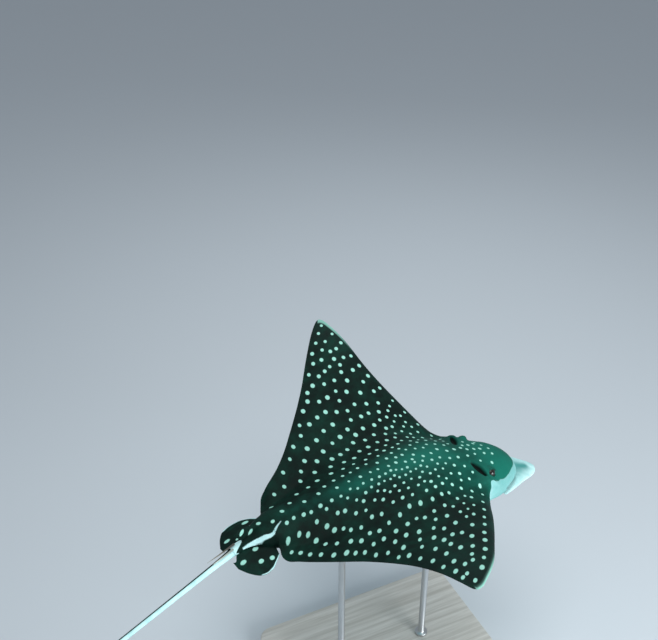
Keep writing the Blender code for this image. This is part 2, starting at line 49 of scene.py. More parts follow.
body = dict(
    discWidth=1.5, height=0.75, standBack=0.37, wingRoot=0.07, twistBack=0.36,
    neckBack=0.25, neckDrop=0.24, wingThickness=0.046, edgeThickness=0.001, tipBack=0.4142, chordGain=2.598,
    slopeSamples=32, edgeSamples=1200, pathSamples=2421, pathStart=-0.02, pathEnd=2.4, acrossSteps=119,
    headSide=[(0.062, 0.000), (0.067, 0.026), (0.08, 0.044), (0.1, 0.059), (0.122, 0.073), (0.146, 0.0815)],
    wingFront=[(0.17, 0.0865), (0.186, 0.1), (0.203, 0.127), (0.247, 0.215), (0.303, 0.325), (0.348, 0.415),
               (0.383, 0.468), (0.406, 0.4955), (0.4142, 0.5)],
    wingRear=[(0.4142, 0.5), (0.4205, 0.495), (0.4306, 0.465), (0.4454, 0.4), (0.469, 0.31),
              (0.514, 0.215), (0.571, 0.141), (0.6125, 0.101), (0.6255, 0.086), (0.631, 0.07)],
    hipSide=[(0.635, 0.045), (0.652, 0.035), (0.668, 0.0255), (0.685, 0.0175), (0.7, 0.0125),
             (0.72, 0.0085)],
    backTop=[(0.062, -0.012), (0.067, 0.000), (0.08, 0.013), (0.102, 0.0245), (0.13, 0.033), (0.16, 0.0385),
             (0.2, 0.047), (0.25, 0.057), (0.3, 0.063), (0.4, 0.059), (0.5, 0.044), (0.6, 0.027),
             (0.65, 0.019), (0.685, 0.0125), (0.72, 0.008)],
    bellyDepth=[(0.062, 0.014), (0.067, 0.021), (0.08, 0.0235), (0.118, 0.0235), (0.1205, 0.043),
                (0.17, 0.043), (0.24, 0.036), (0.5, 0.036), (0.6, 0.027), (0.65, 0.019),
                (0.685, 0.013), (0.72, 0.008)],
    edgeLevel=[(0.062, -0.013), (0.11, -0.014), (0.14, -0.005), (0.168, 0.012), (0.178, 0.01),
               (0.19, 0.001), (0.205, -0.007), (0.23, -0.003), (0.26, 0.000), (0.72, 0.000)],
    backReach=[(0.168, 0.087), (0.24, 0.115), (0.33, 0.15), (0.45, 0.13), (0.56, 0.08),
               (0.635, 0.045)],
    backFade=[(0.062, 0.5), (0.108, 0.5), (0.13, 0.68), (0.146, 0.95), (0.168, 1.6), (0.205, 1.75),
              (0.25, 1.8), (0.45, 2.0), (0.58, 1.3), (0.635, 0.5)],
    bellyPower=[(0.062, 4.0), (0.115, 4.5), (0.135, 8.0), (0.17, 8.0), (0.215, 4.5), (0.26, 4.0),
                (0.72, 4.0)],
    bellyFade=[(0.062, 0.5), (0.12, 0.45), (0.168, 0.45), (0.195, 0.8), (0.25, 1.8), (0.45, 2.0),
               (0.58, 1.3), (0.635, 0.5)],
    neckStart=0.168, wingStart=0.12, wingEnd=0.631,
    tailDroop=[(0.5, 0.0), (0.55, -0.03), (0.615, -0.02), (0.71, 0.305), (1.05, 0.305), (1.6, 0.02),
               (2.4, -0.02)],
    tailSwing=[(0.52, 0.0), (0.575, -0.02), (0.625, -0.01), (0.712, 0.2), (1.05, 0.2), (1.6, 0.05),
               (2.4, -0.12)],
    tailRadius=[(0.72, 0.0085), (0.75, 0.0067), (0.8, 0.0058), (1.00, 0.0048), (1.4, 0.0034),
                (1.9, 0.0021), (2.37, 0.0009)],
)
# slope at the wing's root, its change with span and span squared, twist about the chord
# and its change with span, tip sweep, and how far the inner rear corner tucks and drops
leftWing = dict(root=0.32, linear=0.425, square=-0.708, twist=-0.384, twistOut=0.174, sweep=0.108,
                tuck=0.006, lower=0.0)
rightWing = dict(root=0.203, linear=1.221, square=-1.062, twist=-0.086, twistOut=-0.533, sweep=-0.042,
                 tuck=-0.008, lower=0.006)


def curveThrough(points, x):
    # a smooth curve through the points that never overshoots: cubic pieces whose slope at
    # each point is the weighted harmonic mean of the slopes on its two sides
    px, py = np.array(points, float).T
    x = np.clip(np.asarray(x, float), px[0], px[-1])
    step = np.diff(px)
    slope = np.diff(py) / step
    tangent = np.zeros(len(px))
    inner = slope[:-1] * slope[1:] > 0
    left = 2 * step[1:] + step[:-1]
    right = step[1:] + 2 * step[:-1]
    before = np.where(inner, slope[:-1], 1.0)
    behind = np.where(inner, slope[1:], 1.0)
    tangent[1:-1] = np.where(inner, (left + right) / (left / before + right / behind), 0.0)
    tangent[0] = slope[0]
    tangent[-1] = slope[-1]
    k = np.clip(np.searchsorted(px, x, side="right") - 1, 0, len(px) - 2)
    t = (x - px[k]) / step[k]
    return (py[k] * (1 + 2 * t) * (1 - t) ** 2 + py[k + 1] * t * t * (3 - 2 * t)
            + step[k] * (tangent[k] * t * (1 - t) ** 2 - tangent[k + 1] * t * t * (1 - t)))


def ease(x):
    # 0 below 0, 1 above 1, and 3x^2 - 2x^3 between
    x = np.clip(x, 0.0, 1.0)
    return x * x * (3 - 2 * x)


def bump(distance, width):
    # 1 at distance 0, falling as a bell curve of this width
    return np.exp(-(distance / width) ** 2)


frontBack = np.linspace(body["headSide"][0][0], body["tipBack"], body["edgeSamples"])
frontOut = curveThrough(body["headSide"] + body["wingFront"], frontBack)
rearBack = np.linspace(body["tipBack"], body["hipSide"][-1][0], body["edgeSamples"])
rearOut = curveThrough(body["wingRear"] + body["hipSide"], rearBack)


def halfSpan(back):
    # distance from the middle line to the outline
    return np.where(back < body["tipBack"], np.interp(back, frontBack, frontOut),
                    np.interp(back, rearBack, rearOut))


def frontEdge(out):
    # how far back the leading edge lies at this distance from the middle line
    return np.interp(out, frontOut, frontBack)


def rearEdge(out):
    # the same for the rear edge
    return np.interp(-out, -rearOut, rearBack)


def bodyHeights(back, out):
    # top and bottom of the straight body: a raised back and a deep belly that fade out as
    # (1 - (out / reach)^n)^fade, plus a wing section of sqrt(chord) (1 - chord)
    span = halfSpan(back)
    level = curveThrough(body["edgeLevel"], back)
    reach = np.where(back < body["neckStart"], span, curveThrough(body["backReach"], back))
    reach = np.minimum(reach, span)
    share = out / np.maximum(reach, 1e-9)
    inside = np.clip(1 - share ** 2, 0.0, 1.0)
    hump = (curveThrough(body["backTop"], back) - level) * inside ** curveThrough(body["backFade"], back)
    inside = np.clip(1 - share ** curveThrough(body["bellyPower"], back), 0.0, 1.0)
    belly = (curveThrough(body["bellyDepth"], back) + level) * inside ** curveThrough(body["bellyFade"], back)
    spread = np.clip((out - body["wingRoot"]) / (0.5 - body["wingRoot"]), 0.0, 1.0)
    chord = np.clip((back - frontEdge(out)) / np.maximum(rearEdge(out) - frontEdge(out), 1e-6), 0.0, 1.0)
    profile = body["chordGain"] * np.sqrt(chord) * (1 - chord)
    wing = body["wingThickness"] * (1 - spread) ** 1.25 + 0.01 * (1 - spread) ** 0.4
    wing = wing * profile * ease((back - body["wingStart"]) / 0.07) * (back < body["wingEnd"])
    edge = 0.5 * body["edgeThickness"]
    top = hump + level + 0.6 * wing * ease(out / 0.12) + edge
    return top, -(belly - level + 0.4 * wing * ease((out - 0.03) / 0.1) + edge)


pathBack = np.linspace(body["pathStart"], body["pathEnd"], body["pathSamples"])
pathDroop = -body["neckDrop"] * (1 - pathBack / body["neckBack"])
pathDroop = np.where(pathBack < body["neckBack"], pathDroop, 0.0) + curveThrough(body["tailDroop"], pathBack)
pathSwing = curveThrough(body["tailSwing"], pathBack)


def pathSum(rate):
    # running sum of the direction along the middle line, zero at the neck
    total = np.concatenate([[0.0], np.cumsum(0.5 * (rate[1:] + rate[:-1]) * np.diff(pathBack))])
    return total - np.interp(body["neckBack"], pathBack, total)


pathX = pathSum(-np.cos(pathDroop) * np.sin(pathSwing))
pathY = pathSum(np.cos(pathDroop) * np.cos(pathSwing)) + body["neckBack"]
pathZ = pathSum(-np.sin(pathDroop))


def bendBody(points):
    # bends straight points (back, side, up): each wing's slope is summed outwards from the
    # root, then the cross-section is carried along the bent middle line; result in metres
    back, side, up = np.asarray(points, float).T
    out = np.abs(side)
    left = side >= 0
    wing = {key: np.where(left, leftWing[key], rightWing[key]) for key in leftWing}
    isDisc = ease((back - 0.14) / 0.06) * ease((0.635 - back) / 0.03)

    def slopeAt(along):
        # the wing's slope at a distance from the middle line, and that distance's reach
        reach = np.maximum(along - body["wingRoot"], 0.0) / (0.5 - body["wingRoot"])
        twist = wing["twist"] + wing["twistOut"] * reach
        rise = wing["root"] + wing["linear"] * reach + wing["square"] * reach ** 2
        rise = rise + twist * (body["twistBack"] - back)
        return rise * ease((along - 0.03) / 0.08) * isDisc, reach

    meanCos = np.zeros(len(back))
    meanSin = np.zeros(len(back))
    samples = body["slopeSamples"]
    for place in (np.arange(samples) + 0.5) / samples:
        rise, reach = slopeAt(out * place)
        meanCos += np.cos(rise) / samples
        meanSin += np.sin(rise) / samples
    endRise, endReach = slopeAt(out)
    outBent = out * meanCos - up * np.sin(endRise)
    upBent = out * meanSin + up * np.cos(endRise)
    rear = ease((back - 0.5) / 0.11) * ease((out - 0.035) / 0.045) * ease((0.635 - back) / 0.004)
    backBent = back - wing["sweep"] * endReach ** 2 - wing["tuck"] * rear
    upBent = upBent - wing["lower"] * rear
    sideBent = np.where(left, 1, -1) * outBent
    droop = np.interp(back, pathBack, pathDroop)
    swing = np.interp(back, pathBack, pathSwing)
    x = np.interp(back, pathBack, pathX) + sideBent * np.cos(swing) - upBent * np.sin(droop) * np.sin(swing)
    y = (np.interp(back, pathBack, pathY) + backBent - back + sideBent * np.sin(swing)
         + upBent * np.sin(droop) * np.cos(swing))
    z = np.interp(back, pathBack, pathZ) + upBent * np.cos(droop)
    place = np.stack([x, y - body["standBack"], z], axis=1) * body["discWidth"]
    return place + np.array([0.0, 0.0, body["height"]])


class Shell:
    # one closed surface: its straight points, its faces, and four paint values per point
    def __init__(self, points, faces, pale, tintAndPaintedLight=0.0, rim=0.0, paintedShade=0.0):
        self.points = points
        self.faces = faces
        flat = [np.broadcast_to(value, len(points)) for value in (pale, tintAndPaintedLight, rim, paintedShade)]
        self.paint = np.stack(flat, axis=1)


def lensFaces(rows, half):
    # rows of closed rings, each a top line of half points and the bottom line back again;
    # walls between rings, and a ladder of faces over the first and last ring
    count = 2 * half
    row = np.arange(rows - 1)[:, None] * count
    here = np.arange(count)[None, :]
    after = (here + 1) % count
    walls = np.stack([row + here, row + count + here, row + count + after, row + after],
                     axis=-1).reshape(-1, 4)
    step = np.arange(half - 1)
    first = np.stack([step, step + 1, count - 2 - step, count - 1 - step], axis=1)
    last = first[:, ::-1] + (rows - 1) * count
    return np.concatenate([walls, first, last])


def tubeFaces(rows, sides):
    # rows of rings with this many sides: walls between them, and a ladder over each end
    row = np.arange(rows - 1)[:, None] * sides
    here = np.arange(sides)[None, :]
    after = (here + 1) % sides
    walls = [row + here, row + after, row + sides + after, row + sides + here]
    walls = np.stack(walls, axis=-1).reshape(-1, 4)
    step = np.arange(sides // 2 - 1)
    first = np.stack([step, sides - 1 - step, sides - 2 - step, step + 1], axis=1)
    return np.concatenate([walls, first, first[:, ::-1] + (rows - 1) * sides])


def ringTurn(sides):
    # the angles of a ring's points
    return np.arange(sides) * 2 * np.pi / sides


def ringGrid(backs, across):
    # rings that run over the top and back underneath: for every point its distance back,
    # its share across, and whether it is on the top
    back, share = np.meshgrid(backs, np.concatenate([across, across[::-1]]), indexing="ij")
    return back, share, np.broadcast_to(np.arange(2 * len(across)) < len(across), back.shape)


def asPoints(first, second, third):
    # one row of three for each place of the arrays, spread to a common shape
    return np.stack(np.broadcast_arrays(first, second, third), axis=-1).reshape(-1, 3)


def meshPiece(name, points, faces, smooth=True):
    # a mesh of these points and faces, linked to the scene
    data = bpy.data.meshes.new(name)
    data.from_pydata(np.asarray(points).tolist(), [], np.asarray(faces).tolist())
    data.polygons.foreach_set("use_smooth", np.full(len(data.polygons), smooth))
    data.update()
    piece = bpy.data.objects.new(name, data)
    bpy.context.scene.collection.objects.link(piece)
    return piece


def setAttribute(piece, name, values, domain="POINT"):
    # stores a number or a vector for each point, or for each corner
    kind = "FLOAT_VECTOR" if np.ndim(values) == 2 else "FLOAT"
    made = piece.data.attributes.new(name, kind, domain)
    made.data.foreach_set("vector" if kind == "FLOAT_VECTOR" else "value",
                          np.asarray(values, np.float32).ravel())


head = dict(
    eye=(0.162, 0.057, 0.0238), eyeRadius=0.011, gaze=(-0.16, 0.88, 0.42), orbit=0.001, orbitBlend=0.004,
    lidWide=0.98, lidHigh=0.74,
    spiracle=[(0.1935, 0.034), (0.1872, 0.049), (0.1805, 0.069)], spiracleWidth=0.0066, spiracleDepth=0.01,
    capEdge=[(0.062, 0.004), (0.0752, 0.0068), (0.096, 0.0083), (0.1175, 0.0076), (0.128, 0.0068),
             (0.139, 0.009), (0.1495, 0.0135), (0.1617, 0.0188), (0.17, 0.0228), (0.174, 0.0225),
             (0.179, 0.008), (0.185, -0.03)],
    gillBacks=(0.208, 0.227, 0.246, 0.265, 0.283), gillOuts=(0.061, 0.06, 0.0575, 0.054, 0.05),
    gillHalf=0.0085, gillWidth=0.0016, gillDepth=0.002,
    streak=[(0.615, 0.0112), (0.623, 0.0165), (0.6298, 0.0221), (0.6363, 0.0285), (0.645, 0.0282),
            (0.653, 0.0256), (0.662, 0.0238), (0.6743, 0.0197), (0.689, 0.0157), (0.7, 0.0122)],
    streakHalf=[0.0013, 0.0017, 0.002, 0.0026, 0.0035, 0.004, 0.0036, 0.0029, 0.0021, 0.001],
    mouthBack=0.14, mouthHalf=0.034, mouthWidth=0.0016, mouthDepth=0.006,
    nostril=(0.1275, 0.027), nostrilWidth=0.003, nostrilDepth=0.005, foldWidth=0.0014, foldDepth=0.0016,
)


def nearPath(points, path):
    # distance of each point in the plane from a polyline, and how far along it the foot lies
    best = np.full(len(points), 9.0)
    along = np.zeros(len(points))
    path = np.array(path, float)
    for k in range(len(path) - 1):
        run = path[k + 1] - path[k]
        t = np.clip(((points - path[k]) @ run) / (run @ run), 0.0, 1.0)
        distance = np.hypot(*(points - path[k] - t[:, None] * run).T)
        nearer = distance < best
        best = np.where(nearer, distance, best)
        along = np.where(nearer, (k + t) / (len(path) - 1), along)
    return best, along


def shapeHead(points, isTop):
    # sinks the spiracles, gill slits and mouth into the surface, and raises a rounded
    # orbit over each eye, open towards the gaze: the distance from the ball's centre is
    # never less than the orbit's, and inside the opening it drops below the ball
    # it also returns painted shade inside the spiracles, gill slits, mouth and nostrils
    back, side, up = points.T.copy()
    out = np.abs(side)
    flat = np.stack([back, out], axis=1)
    distance, along = nearPath(flat, head["spiracle"])
    inside = ease(1.4 - distance / (head["spiracleWidth"] * (0.65 + 0.35 * np.sin(np.pi * along))))
    up = np.where(isTop, up - head["spiracleDepth"] * inside, up)
    # painted shade inside the spiracles
    paintedShade = np.where(isTop, ease(2.2 * inside - 0.5), 0.0)
    for gillBack, gillOut in zip(head["gillBacks"], head["gillOuts"]):
        ends = np.clip((out - gillOut) / head["gillHalf"], -1, 1)
        bow = gillBack + 0.003 * ends ** 2
        missed = np.hypot(back - bow, np.maximum(np.abs(out - gillOut) - head["gillHalf"], 0.0))
        slit = bump(missed, head["gillWidth"])
        lift = slit - 0.5 * bump(missed - 0.0032, 0.0022) * (back < bow)
        up = np.where(isTop, up, up + head["gillDepth"] * lift)
        # painted shade in the gill slits
        paintedShade = np.where(isTop, paintedShade, np.maximum(paintedShade, 0.75 * slit))
    # the mouth under the fringed edge of the nasal curtain, which hangs between two nostrils
    nostrilBack, nostrilOut = head["nostril"]
    fringe = 0.0006 * np.sin(700 * out) * ease((nostrilOut - out) / 0.004)
    mouthLine = head["mouthBack"] + 1.6 * out ** 2 + fringe
    ends = np.maximum(out - head["mouthHalf"], 0.0)
    slit = bump(np.hypot(back - mouthLine, ends), head["mouthWidth"])
    pit = bump(np.hypot((back - nostrilBack) * 0.8, out - nostrilOut), head["nostrilWidth"])
    fold = nearPath(flat, [head["nostril"], (head["mouthBack"], nostrilOut - 0.003)])[0]
    fold = bump(fold, head["foldWidth"])
    lip = bump(back - mouthLine - 0.0042, 0.0022) * ease((head["mouthHalf"] - out) / 0.008)
    sunk = np.maximum(head["mouthDepth"] * slit, head["nostrilDepth"] * pit)
    up = np.where(isTop, up, up + np.maximum(sunk, head["foldDepth"] * np.maximum(fold, lip)))
    # painted shade in the mouth and the nostrils, and fainter along the curtain's fold
    dark = np.maximum(0.9 * slit, np.maximum(0.9 * pit, 0.35 * fold))
    paintedShade = np.where(isTop, paintedShade, np.maximum(paintedShade, dark))
    centre = np.array(head["eye"])
    gaze = np.array(head["gaze"]) / np.linalg.norm(head["gaze"])
    away = np.stack([back, out, up], axis=1) - centre
    far = np.maximum(np.linalg.norm(away, axis=1), 1e-6)
    facing = away @ gaze / far
    radius = head["eyeRadius"] + head["orbit"]
    end = 3.2 * radius
    raised = 0.5 * (far + radius + np.sqrt((far - radius) ** 2 + head["orbitBlend"] ** 2))
    raised = far + (raised - far) * ease((end - far) / (1.4 * radius))
    opening = ease((facing - math.cos(head["lidHigh"] + 0.22)) / 0.16)
    raised = np.where(far < 2.0 * radius, raised + (0.72 * head["eyeRadius"] - raised) * opening, raised)
    moved = centre + away * (raised / far)[:, None]
    use = isTop & (far < end) & (out > 0.028)
    back = np.where(use, moved[:, 0], back)
    out = np.where(use, moved[:, 1], out)
    up = np.where(use, moved[:, 2], up)
    return np.stack([back, np.where(side >= 0, out, -out), up], axis=1), paintedShade


def bodyShell():
    # rings across the body; each runs over the top from right to left and back underneath,
    # so that lines of equal share follow the outline out to the wing tips
    stations = np.concatenate([
        0.062 + 0.018 * np.linspace(0.1, 1.0, 14) ** 2, np.linspace(0.0815, 0.1165, 22),
        np.linspace(0.118, 0.1212, 5), np.linspace(0.1224, 0.21, 74), np.linspace(0.2118, 0.29, 48),
        np.linspace(0.2935, 0.402, 34), np.linspace(0.4045, body["tipBack"], 6),
        np.linspace(0.416, 0.43, 8), np.linspace(0.4335, 0.61, 52), np.linspace(0.6125, 0.635, 14),
        np.linspace(0.637, 0.72, 34)])
    steps = np.linspace(-1.0, 1.0, body["acrossSteps"])
    across = 0.62 * steps + 0.38 * np.sin(0.5 * np.pi * steps)
    across = np.concatenate([[-1.0, -0.998], across[1:-1], [0.998, 1.0]])
    back, share, isTop = (grid.ravel() for grid in ringGrid(stations, across))
    side = halfSpan(back) * share
    top, bottom = bodyHeights(back, np.abs(side))
    plain = asPoints(back, side, np.where(isTop, top, bottom))
    points, paintedShade = shapeHead(plain, isTop)
    pale, tintAndPaintedLight, rim = paintBody(plain, isTop)
    return Shell(points, lensFaces(len(stations), len(across)), pale, tintAndPaintedLight, rim, paintedShade)


def tailBand(back, side):
    # above 0 behind a rounded point on the tail's ridge, where its pale band begins
    return back - 0.6935 - 260 * side ** 2


def paintBody(points, isTop):
    # pale: above 0 where the white underside shows; then the share of sea green over black,
    # partly the back's own colour and partly painted light on the ridge and shoulders;
    # rim: above 0 on the thin pale line of the leading edge near the tips
    back, side, up = points.T
    out = np.abs(side)
    span = halfSpan(back)
    inward = span - out
    cap = curveThrough(head["capEdge"], back) - up
    fromEye = np.linalg.norm(np.stack([back, out, up], axis=1) - np.array(head["eye"]), axis=1)
    cap = cap - 0.03 * ease((0.0252 - fromEye) / 0.006)
    headPale = np.where(back < 0.184, cap, -0.02)
    distance, along = nearPath(np.stack([back, out], axis=1), head["streak"])
    flank = np.interp(along, np.linspace(0, 1, len(head["streak"])), head["streakHalf"]) - distance
    flank = flank - 0.02 * (side > 0) * ease((0.668 - back) / 0.012)
    tail = tailBand(back, side)
    onTop = np.maximum(np.maximum(headPale, flank), np.maximum(tail, -0.03))
    margin = 0.006 + 0.016 * ease((out - 0.15) / 0.3) + 0.012 * ease((back - frontEdge(out) - 0.05) / 0.1)
    margin = np.where(back < 0.2, 0.0, margin * ease((back - 0.2) / 0.05))
    under = np.where(back < 0.2, 0.02, inward - margin)
    flankLow = 0.0085 + 0.006 * ease((0.69 - back) / 0.03)
    under = np.where(back > 0.635, np.maximum(-flankLow - up, back - 0.712), under)
    pale = np.where(isTop, onTop, under)
    # painted light: the ridge and shoulder terms give a lighter sea green where the back faces the light from
    # above
    ridge = bump(out, 0.036) * ease((back - 0.16) / 0.12) * ease((0.69 - back) / 0.26)
    shoulder = bump(np.hypot((back - 0.24) * 0.8, out - 0.05), 0.105)
    crown = ease((0.22 - back) / 0.09)
    tintAndPaintedLight = np.clip(0.5 * ridge + 0.38 * shoulder + 0.62 * crown, 0.0, 1.0)
    leading = back < body["tipBack"] + 0.002
    rimStart = np.where(side > 0, 0.972, 0.987)
    rim = ease((out - 0.36) / 0.1) * ease((out / np.maximum(span, 1e-6) - rimStart) / 0.009) * leading
    return pale, tintAndPaintedLight, rim


lobe = dict(
    side=[(-0.012, 0.000), (-0.006, 0.013), (0.018, 0.032), (0.06, 0.051), (0.095, 0.066), (0.1175, 0.074)],
    thickness=[(-0.012, 0.005), (0.03, 0.011), (0.07, 0.0155), (0.1175, 0.019)],
    top=-0.0243, end=0.1225, throat=0.1175, acrossSteps=61,
)


def lobeShell():
    # the flat snout lobe: rounded sections of the lobe's half width and thickness, whose
    # rear end runs into the throat
    backs = np.concatenate([-0.012 + 0.03 * np.linspace(0.03, 1.0, 20) ** 2,
                            np.linspace(0.021, lobe["end"], 44)])
    steps = np.linspace(-1.0, 1.0, lobe["acrossSteps"])
    across = 0.45 * steps + 0.55 * np.sin(0.5 * np.pi * steps)
    back, share, isTop = ringGrid(backs, across)
    width = curveThrough(lobe["side"], np.minimum(back, lobe["throat"]))
    thick = curveThrough(lobe["thickness"], np.minimum(back, lobe["throat"]))
    shrink = 1 - 0.25 * ease((back - lobe["throat"]) / 0.006)
    topLine = lobe["top"] - 0.006 * ease((0.05 - back) / 0.05)
    roundOff = 0.12 + 0.88 * np.sqrt(np.clip(1 - share ** 2, 0.0, 1.0))
    roundOff = roundOff * np.sqrt(np.clip((back + 0.0121) / 0.006, 0.02, 1.0))
    middle = topLine - 0.45 * thick
    up = middle + np.where(isTop, 0.45, -0.55) * thick * roundOff * shrink
    # a shallow dish along the middle of the top, and a soft keel below it
    dish = 0.0016 * bump(share, 0.45) * ease(back / 0.03)
    up = np.where(isTop, up - dish, up)
    points = asPoints(back, width * share * (0.985 * shrink), up)
    pale = np.full(len(points), 0.03)
    # the grey-green middle of the top shows behind the pale front rim
    dusk = ease((back - 0.002) / 0.012) * bump(share, 0.42 + 0.25 * ease((back - 0.01) / 0.04)) * isTop
    # painted shade along the crease where the head's front wall meets the lobe's top
    creaseShade = bump(width * np.abs(share) - halfSpan(np.maximum(back, 0.0625)) - 0.001, 0.005)
    creaseShade = 0.28 * creaseShade * ease((back - 0.05) / 0.012) * isTop
    return Shell(points, lensFaces(len(backs), len(across)), pale, dusk.ravel(), paintedShade=creaseShade.ravel())


pelvic = dict(
    outline=[(0.6375, 0.056), (0.655, 0.068), (0.672, 0.0755), (0.69, 0.0765), (0.705, 0.072),
             (0.72, 0.056), (0.732, 0.033)],
    thickness=0.0052, level=0.6, slope=0.24, rootEnd=0.716, trailWidth=0.016, gap=0.0006, acrossSteps=26,
)


def pelvicShell(sign):
    # a pointed-oval blade from a root line inside the hip out to the fin's outline,
    # hanging a little towards its edge; its rear end draws in to a rounded tip
    first = pelvic["outline"][0][0]
    last = pelvic["outline"][-1][0]
    backs = np.concatenate([np.linspace(first, 0.7, 40), np.linspace(0.7012, last - 0.0004, 30)])
    part = 0.5 - 0.5 * np.cos(np.pi * np.linspace(0.0, 1.0, pelvic["acrossSteps"]))
    back, share, isTop = ringGrid(backs, part)
    outer = curveThrough(pelvic["outline"], back)
    root = 0.96 * halfSpan(back) + pelvic["gap"]
    trail = ease((back - pelvic["rootEnd"]) / 0.02)
    sunk = 0.55 + 0.5 * ease((back - 0.69) / 0.02)
    inner = root * sunk * (1 - trail) + (outer - pelvic["trailWidth"]) * trail
    end = np.sin(0.5 * np.pi * np.clip((last + 0.0005 - back) / 0.02, 0.0, 1.0))
    start = ease((back - first + 0.008) / 0.016)
    thick = pelvic["thickness"] * (0.25 + 0.75 * np.minimum(end, start))
    out = inner + (outer - inner) * share
    halfThick = 0.5 * thick * (1 - 0.8 * share ** 2)
    level = -pelvic["level"] * curveThrough(body["bellyDepth"], back) - pelvic["slope"] * (out - root)
    # faint radial folds
    fold = 0.0003 * np.sin(46 * share + 60 * (back - first)) * ease(share / 0.3)
    up = level + np.where(isTop, halfThick, -halfThick) + fold
    points = asPoints(back, sign * out, up)
    fromEdge = np.minimum(outer - out, (last - back))
    rimPale = 0.0018 - fromEdge - 0.01 * ease((back - 0.7) / 0.02)
    pale = np.where(isTop, rimPale, fromEdge - 0.004)
    return Shell(points, lensFaces(len(backs), len(part))[:, ::sign], pale.ravel(), 0.05)


dorsalFin = dict(start=0.655, end=0.694, height=0.027, thickness=0.0036, foot=0.0005, lean=0.4, sink=0.006)


def dorsalFinShell():
    # a small leaning blade: its height rises as a sine and drops a little at the rear,
    # its thickness is greatest mid-way and thins towards the edge
    part = np.linspace(0.0, 1.0, 42)[:, None]
    level = np.concatenate([[-dorsalFin["sink"] / dorsalFin["height"]],
                            np.sin(0.5 * np.pi * np.linspace(0, 1, 18))])
    half = len(level)
    level = np.concatenate([level, level[::-1]])[None, :]
    back = dorsalFin["start"] + (dorsalFin["end"] - dorsalFin["start"]) * part
    rise = dorsalFin["height"] * (0.1 + 0.9 * np.sin(0.5 * np.pi * np.minimum(1.0, part / 0.72)) ** 0.8)
    rise = rise * np.where(part < 0.8, 1.0, 1.0 - 0.3 * (part - 0.8) / 0.2)
    top = bodyHeights(back.ravel(), 0 * back.ravel())[0]
    wide = 0.5 * dorsalFin["thickness"] * (0.35 + 0.65 * np.sin(np.pi * (0.08 + 0.84 * part)))
    wide = wide * np.sqrt(np.clip(1 - 0.94 * np.maximum(level, 0.0) ** 2, 0.0, 1.0))
    isRight = np.arange(2 * half)[None, :] < half
    side = np.where(isRight, -wide, wide)
    points = asPoints(back + dorsalFin["lean"] * rise * level, side,
                      top[:, None] + dorsalFin["foot"] + rise * level)
    return Shell(points, lensFaces(len(part), half), -0.02)


def tailShell():
    # a tapering round whip from inside the tail base to the tip, with closed ends
    sides = 28
    backs = np.concatenate([np.linspace(0.7, 0.8, 30), np.linspace(0.81, 2.3695, 170)])
    radius = curveThrough(body["tailRadius"], backs) * (0.93 + 0.07 * ease((backs - 0.7) / 0.02))
    radius[-1] *= 0.4
    turn = ringTurn(sides)
    radius = 0.99 * radius[:, None]
    points = asPoints(backs[:, None], radius * np.cos(turn), radius * np.sin(turn))
    # a dark line runs along the upper left side
    line = bump((np.tile(turn, len(backs)) - 1.1), 0.72) * ease((1.45 - points[:, 0]) / 0.3)
    pale = 0.03 - 0.05 * line
    pale = np.where(points[:, 2] > 0, np.minimum(pale, tailBand(points[:, 0], points[:, 1])), pale)
    return Shell(points, tubeFaces(len(backs), sides), pale)


def roundEye(radius, angle, turn, sign):
    # points at this radius from the eye's middle and this angle from its gaze, turned round
    # it from the backward direction along the lids towards the upward one
    gaze = np.array(head["gaze"]) / np.linalg.norm(head["gaze"])
    along = np.cross(np.cross(gaze, (1.0, 0.0, 0.0)), gaze)
    along = along / np.linalg.norm(along)
    spread = radius * np.sin(angle)
    points = (np.array(head["eye"]) + (radius * np.cos(angle) + 0 * turn)[..., None] * gaze
              + (spread * np.cos(turn))[..., None] * along
              + (spread * np.sin(turn))[..., None] * np.cross(gaze, along)).reshape(-1, 3)
    points[:, 1] *= sign
    return points


def lidShell(sign):
    # the eyelids: a closed band round an oval opening, whose rounded margin stands just
    # off the ball and whose outer side sinks back into the head
    profile = np.array([(0.00, -0.0009), (-0.035, 0.0000), (-0.022, 0.0008), (0.04, 0.0017), (0.14, 0.0023),
                        (0.26, 0.0024), (0.42, 0.0018), (0.6, 0.0002), (0.75, -0.0026), (0.5, -0.004),
                        (0.25, -0.003)])
    count, sides = len(profile), 72
    turn = ringTurn(sides)[:, None]
    opening = 1 / np.hypot(np.cos(turn) / head["lidWide"], np.sin(turn) / head["lidHigh"])
    points = roundEye(head["eyeRadius"] + profile[:, 1], opening + profile[:, 0], turn, sign)
    here = np.arange(sides)[:, None]
    step = np.arange(count)[None, :]
    nextHere = (here + 1) % sides
    nextStep = (step + 1) % count
    faces = np.stack([here * count + step, nextHere * count + step, nextHere * count + nextStep,
                      here * count + nextStep], axis=-1).reshape(-1, 4)
    # painted shade along the lids' margin where they meet the ball
    dark = np.tile(bump(profile[:, 0], 0.09), sides)
    return Shell(points, faces[:, ::sign], -0.02, 0.55, paintedShade=0.6 * dark)


# gaps and sizes are shares of the disc width; pairs are for the left and the right side
spots = dict(
    seed=23, spacing=0.027, shoulderSpacing=0.0212, ridgeSpacing=0.019, headSpacing=0.02,
    radius=0.004, smallRadius=0.0027, radiusRange=(0.86, 1.14), bodyStretch=1.25,
    cloud=60000, samples=15000, rounds=40, jitter=0.0008, block=4000, farAway=9.0,
    saddle=(0.652, 0.009), edgeGap=0.0175, edgeStep=0.036975, edgeRow=(0.105, 0.478),
    outlineGap=0.0055, rearGap=0.0045, frontGap=0.0075, streakGap=0.01, eyeGap=0.016, spiracleGap=0.009,
    sweep=(0.45, 0.89), stretch=((1.2, 1.4), (1.3, 1.9)), shapeGain=(0.95, 1.12),
    sideCount=(1.02, 1.28), hipCloser=(0.02, 0.18), tipWider=(-0.22, 0.17),
)


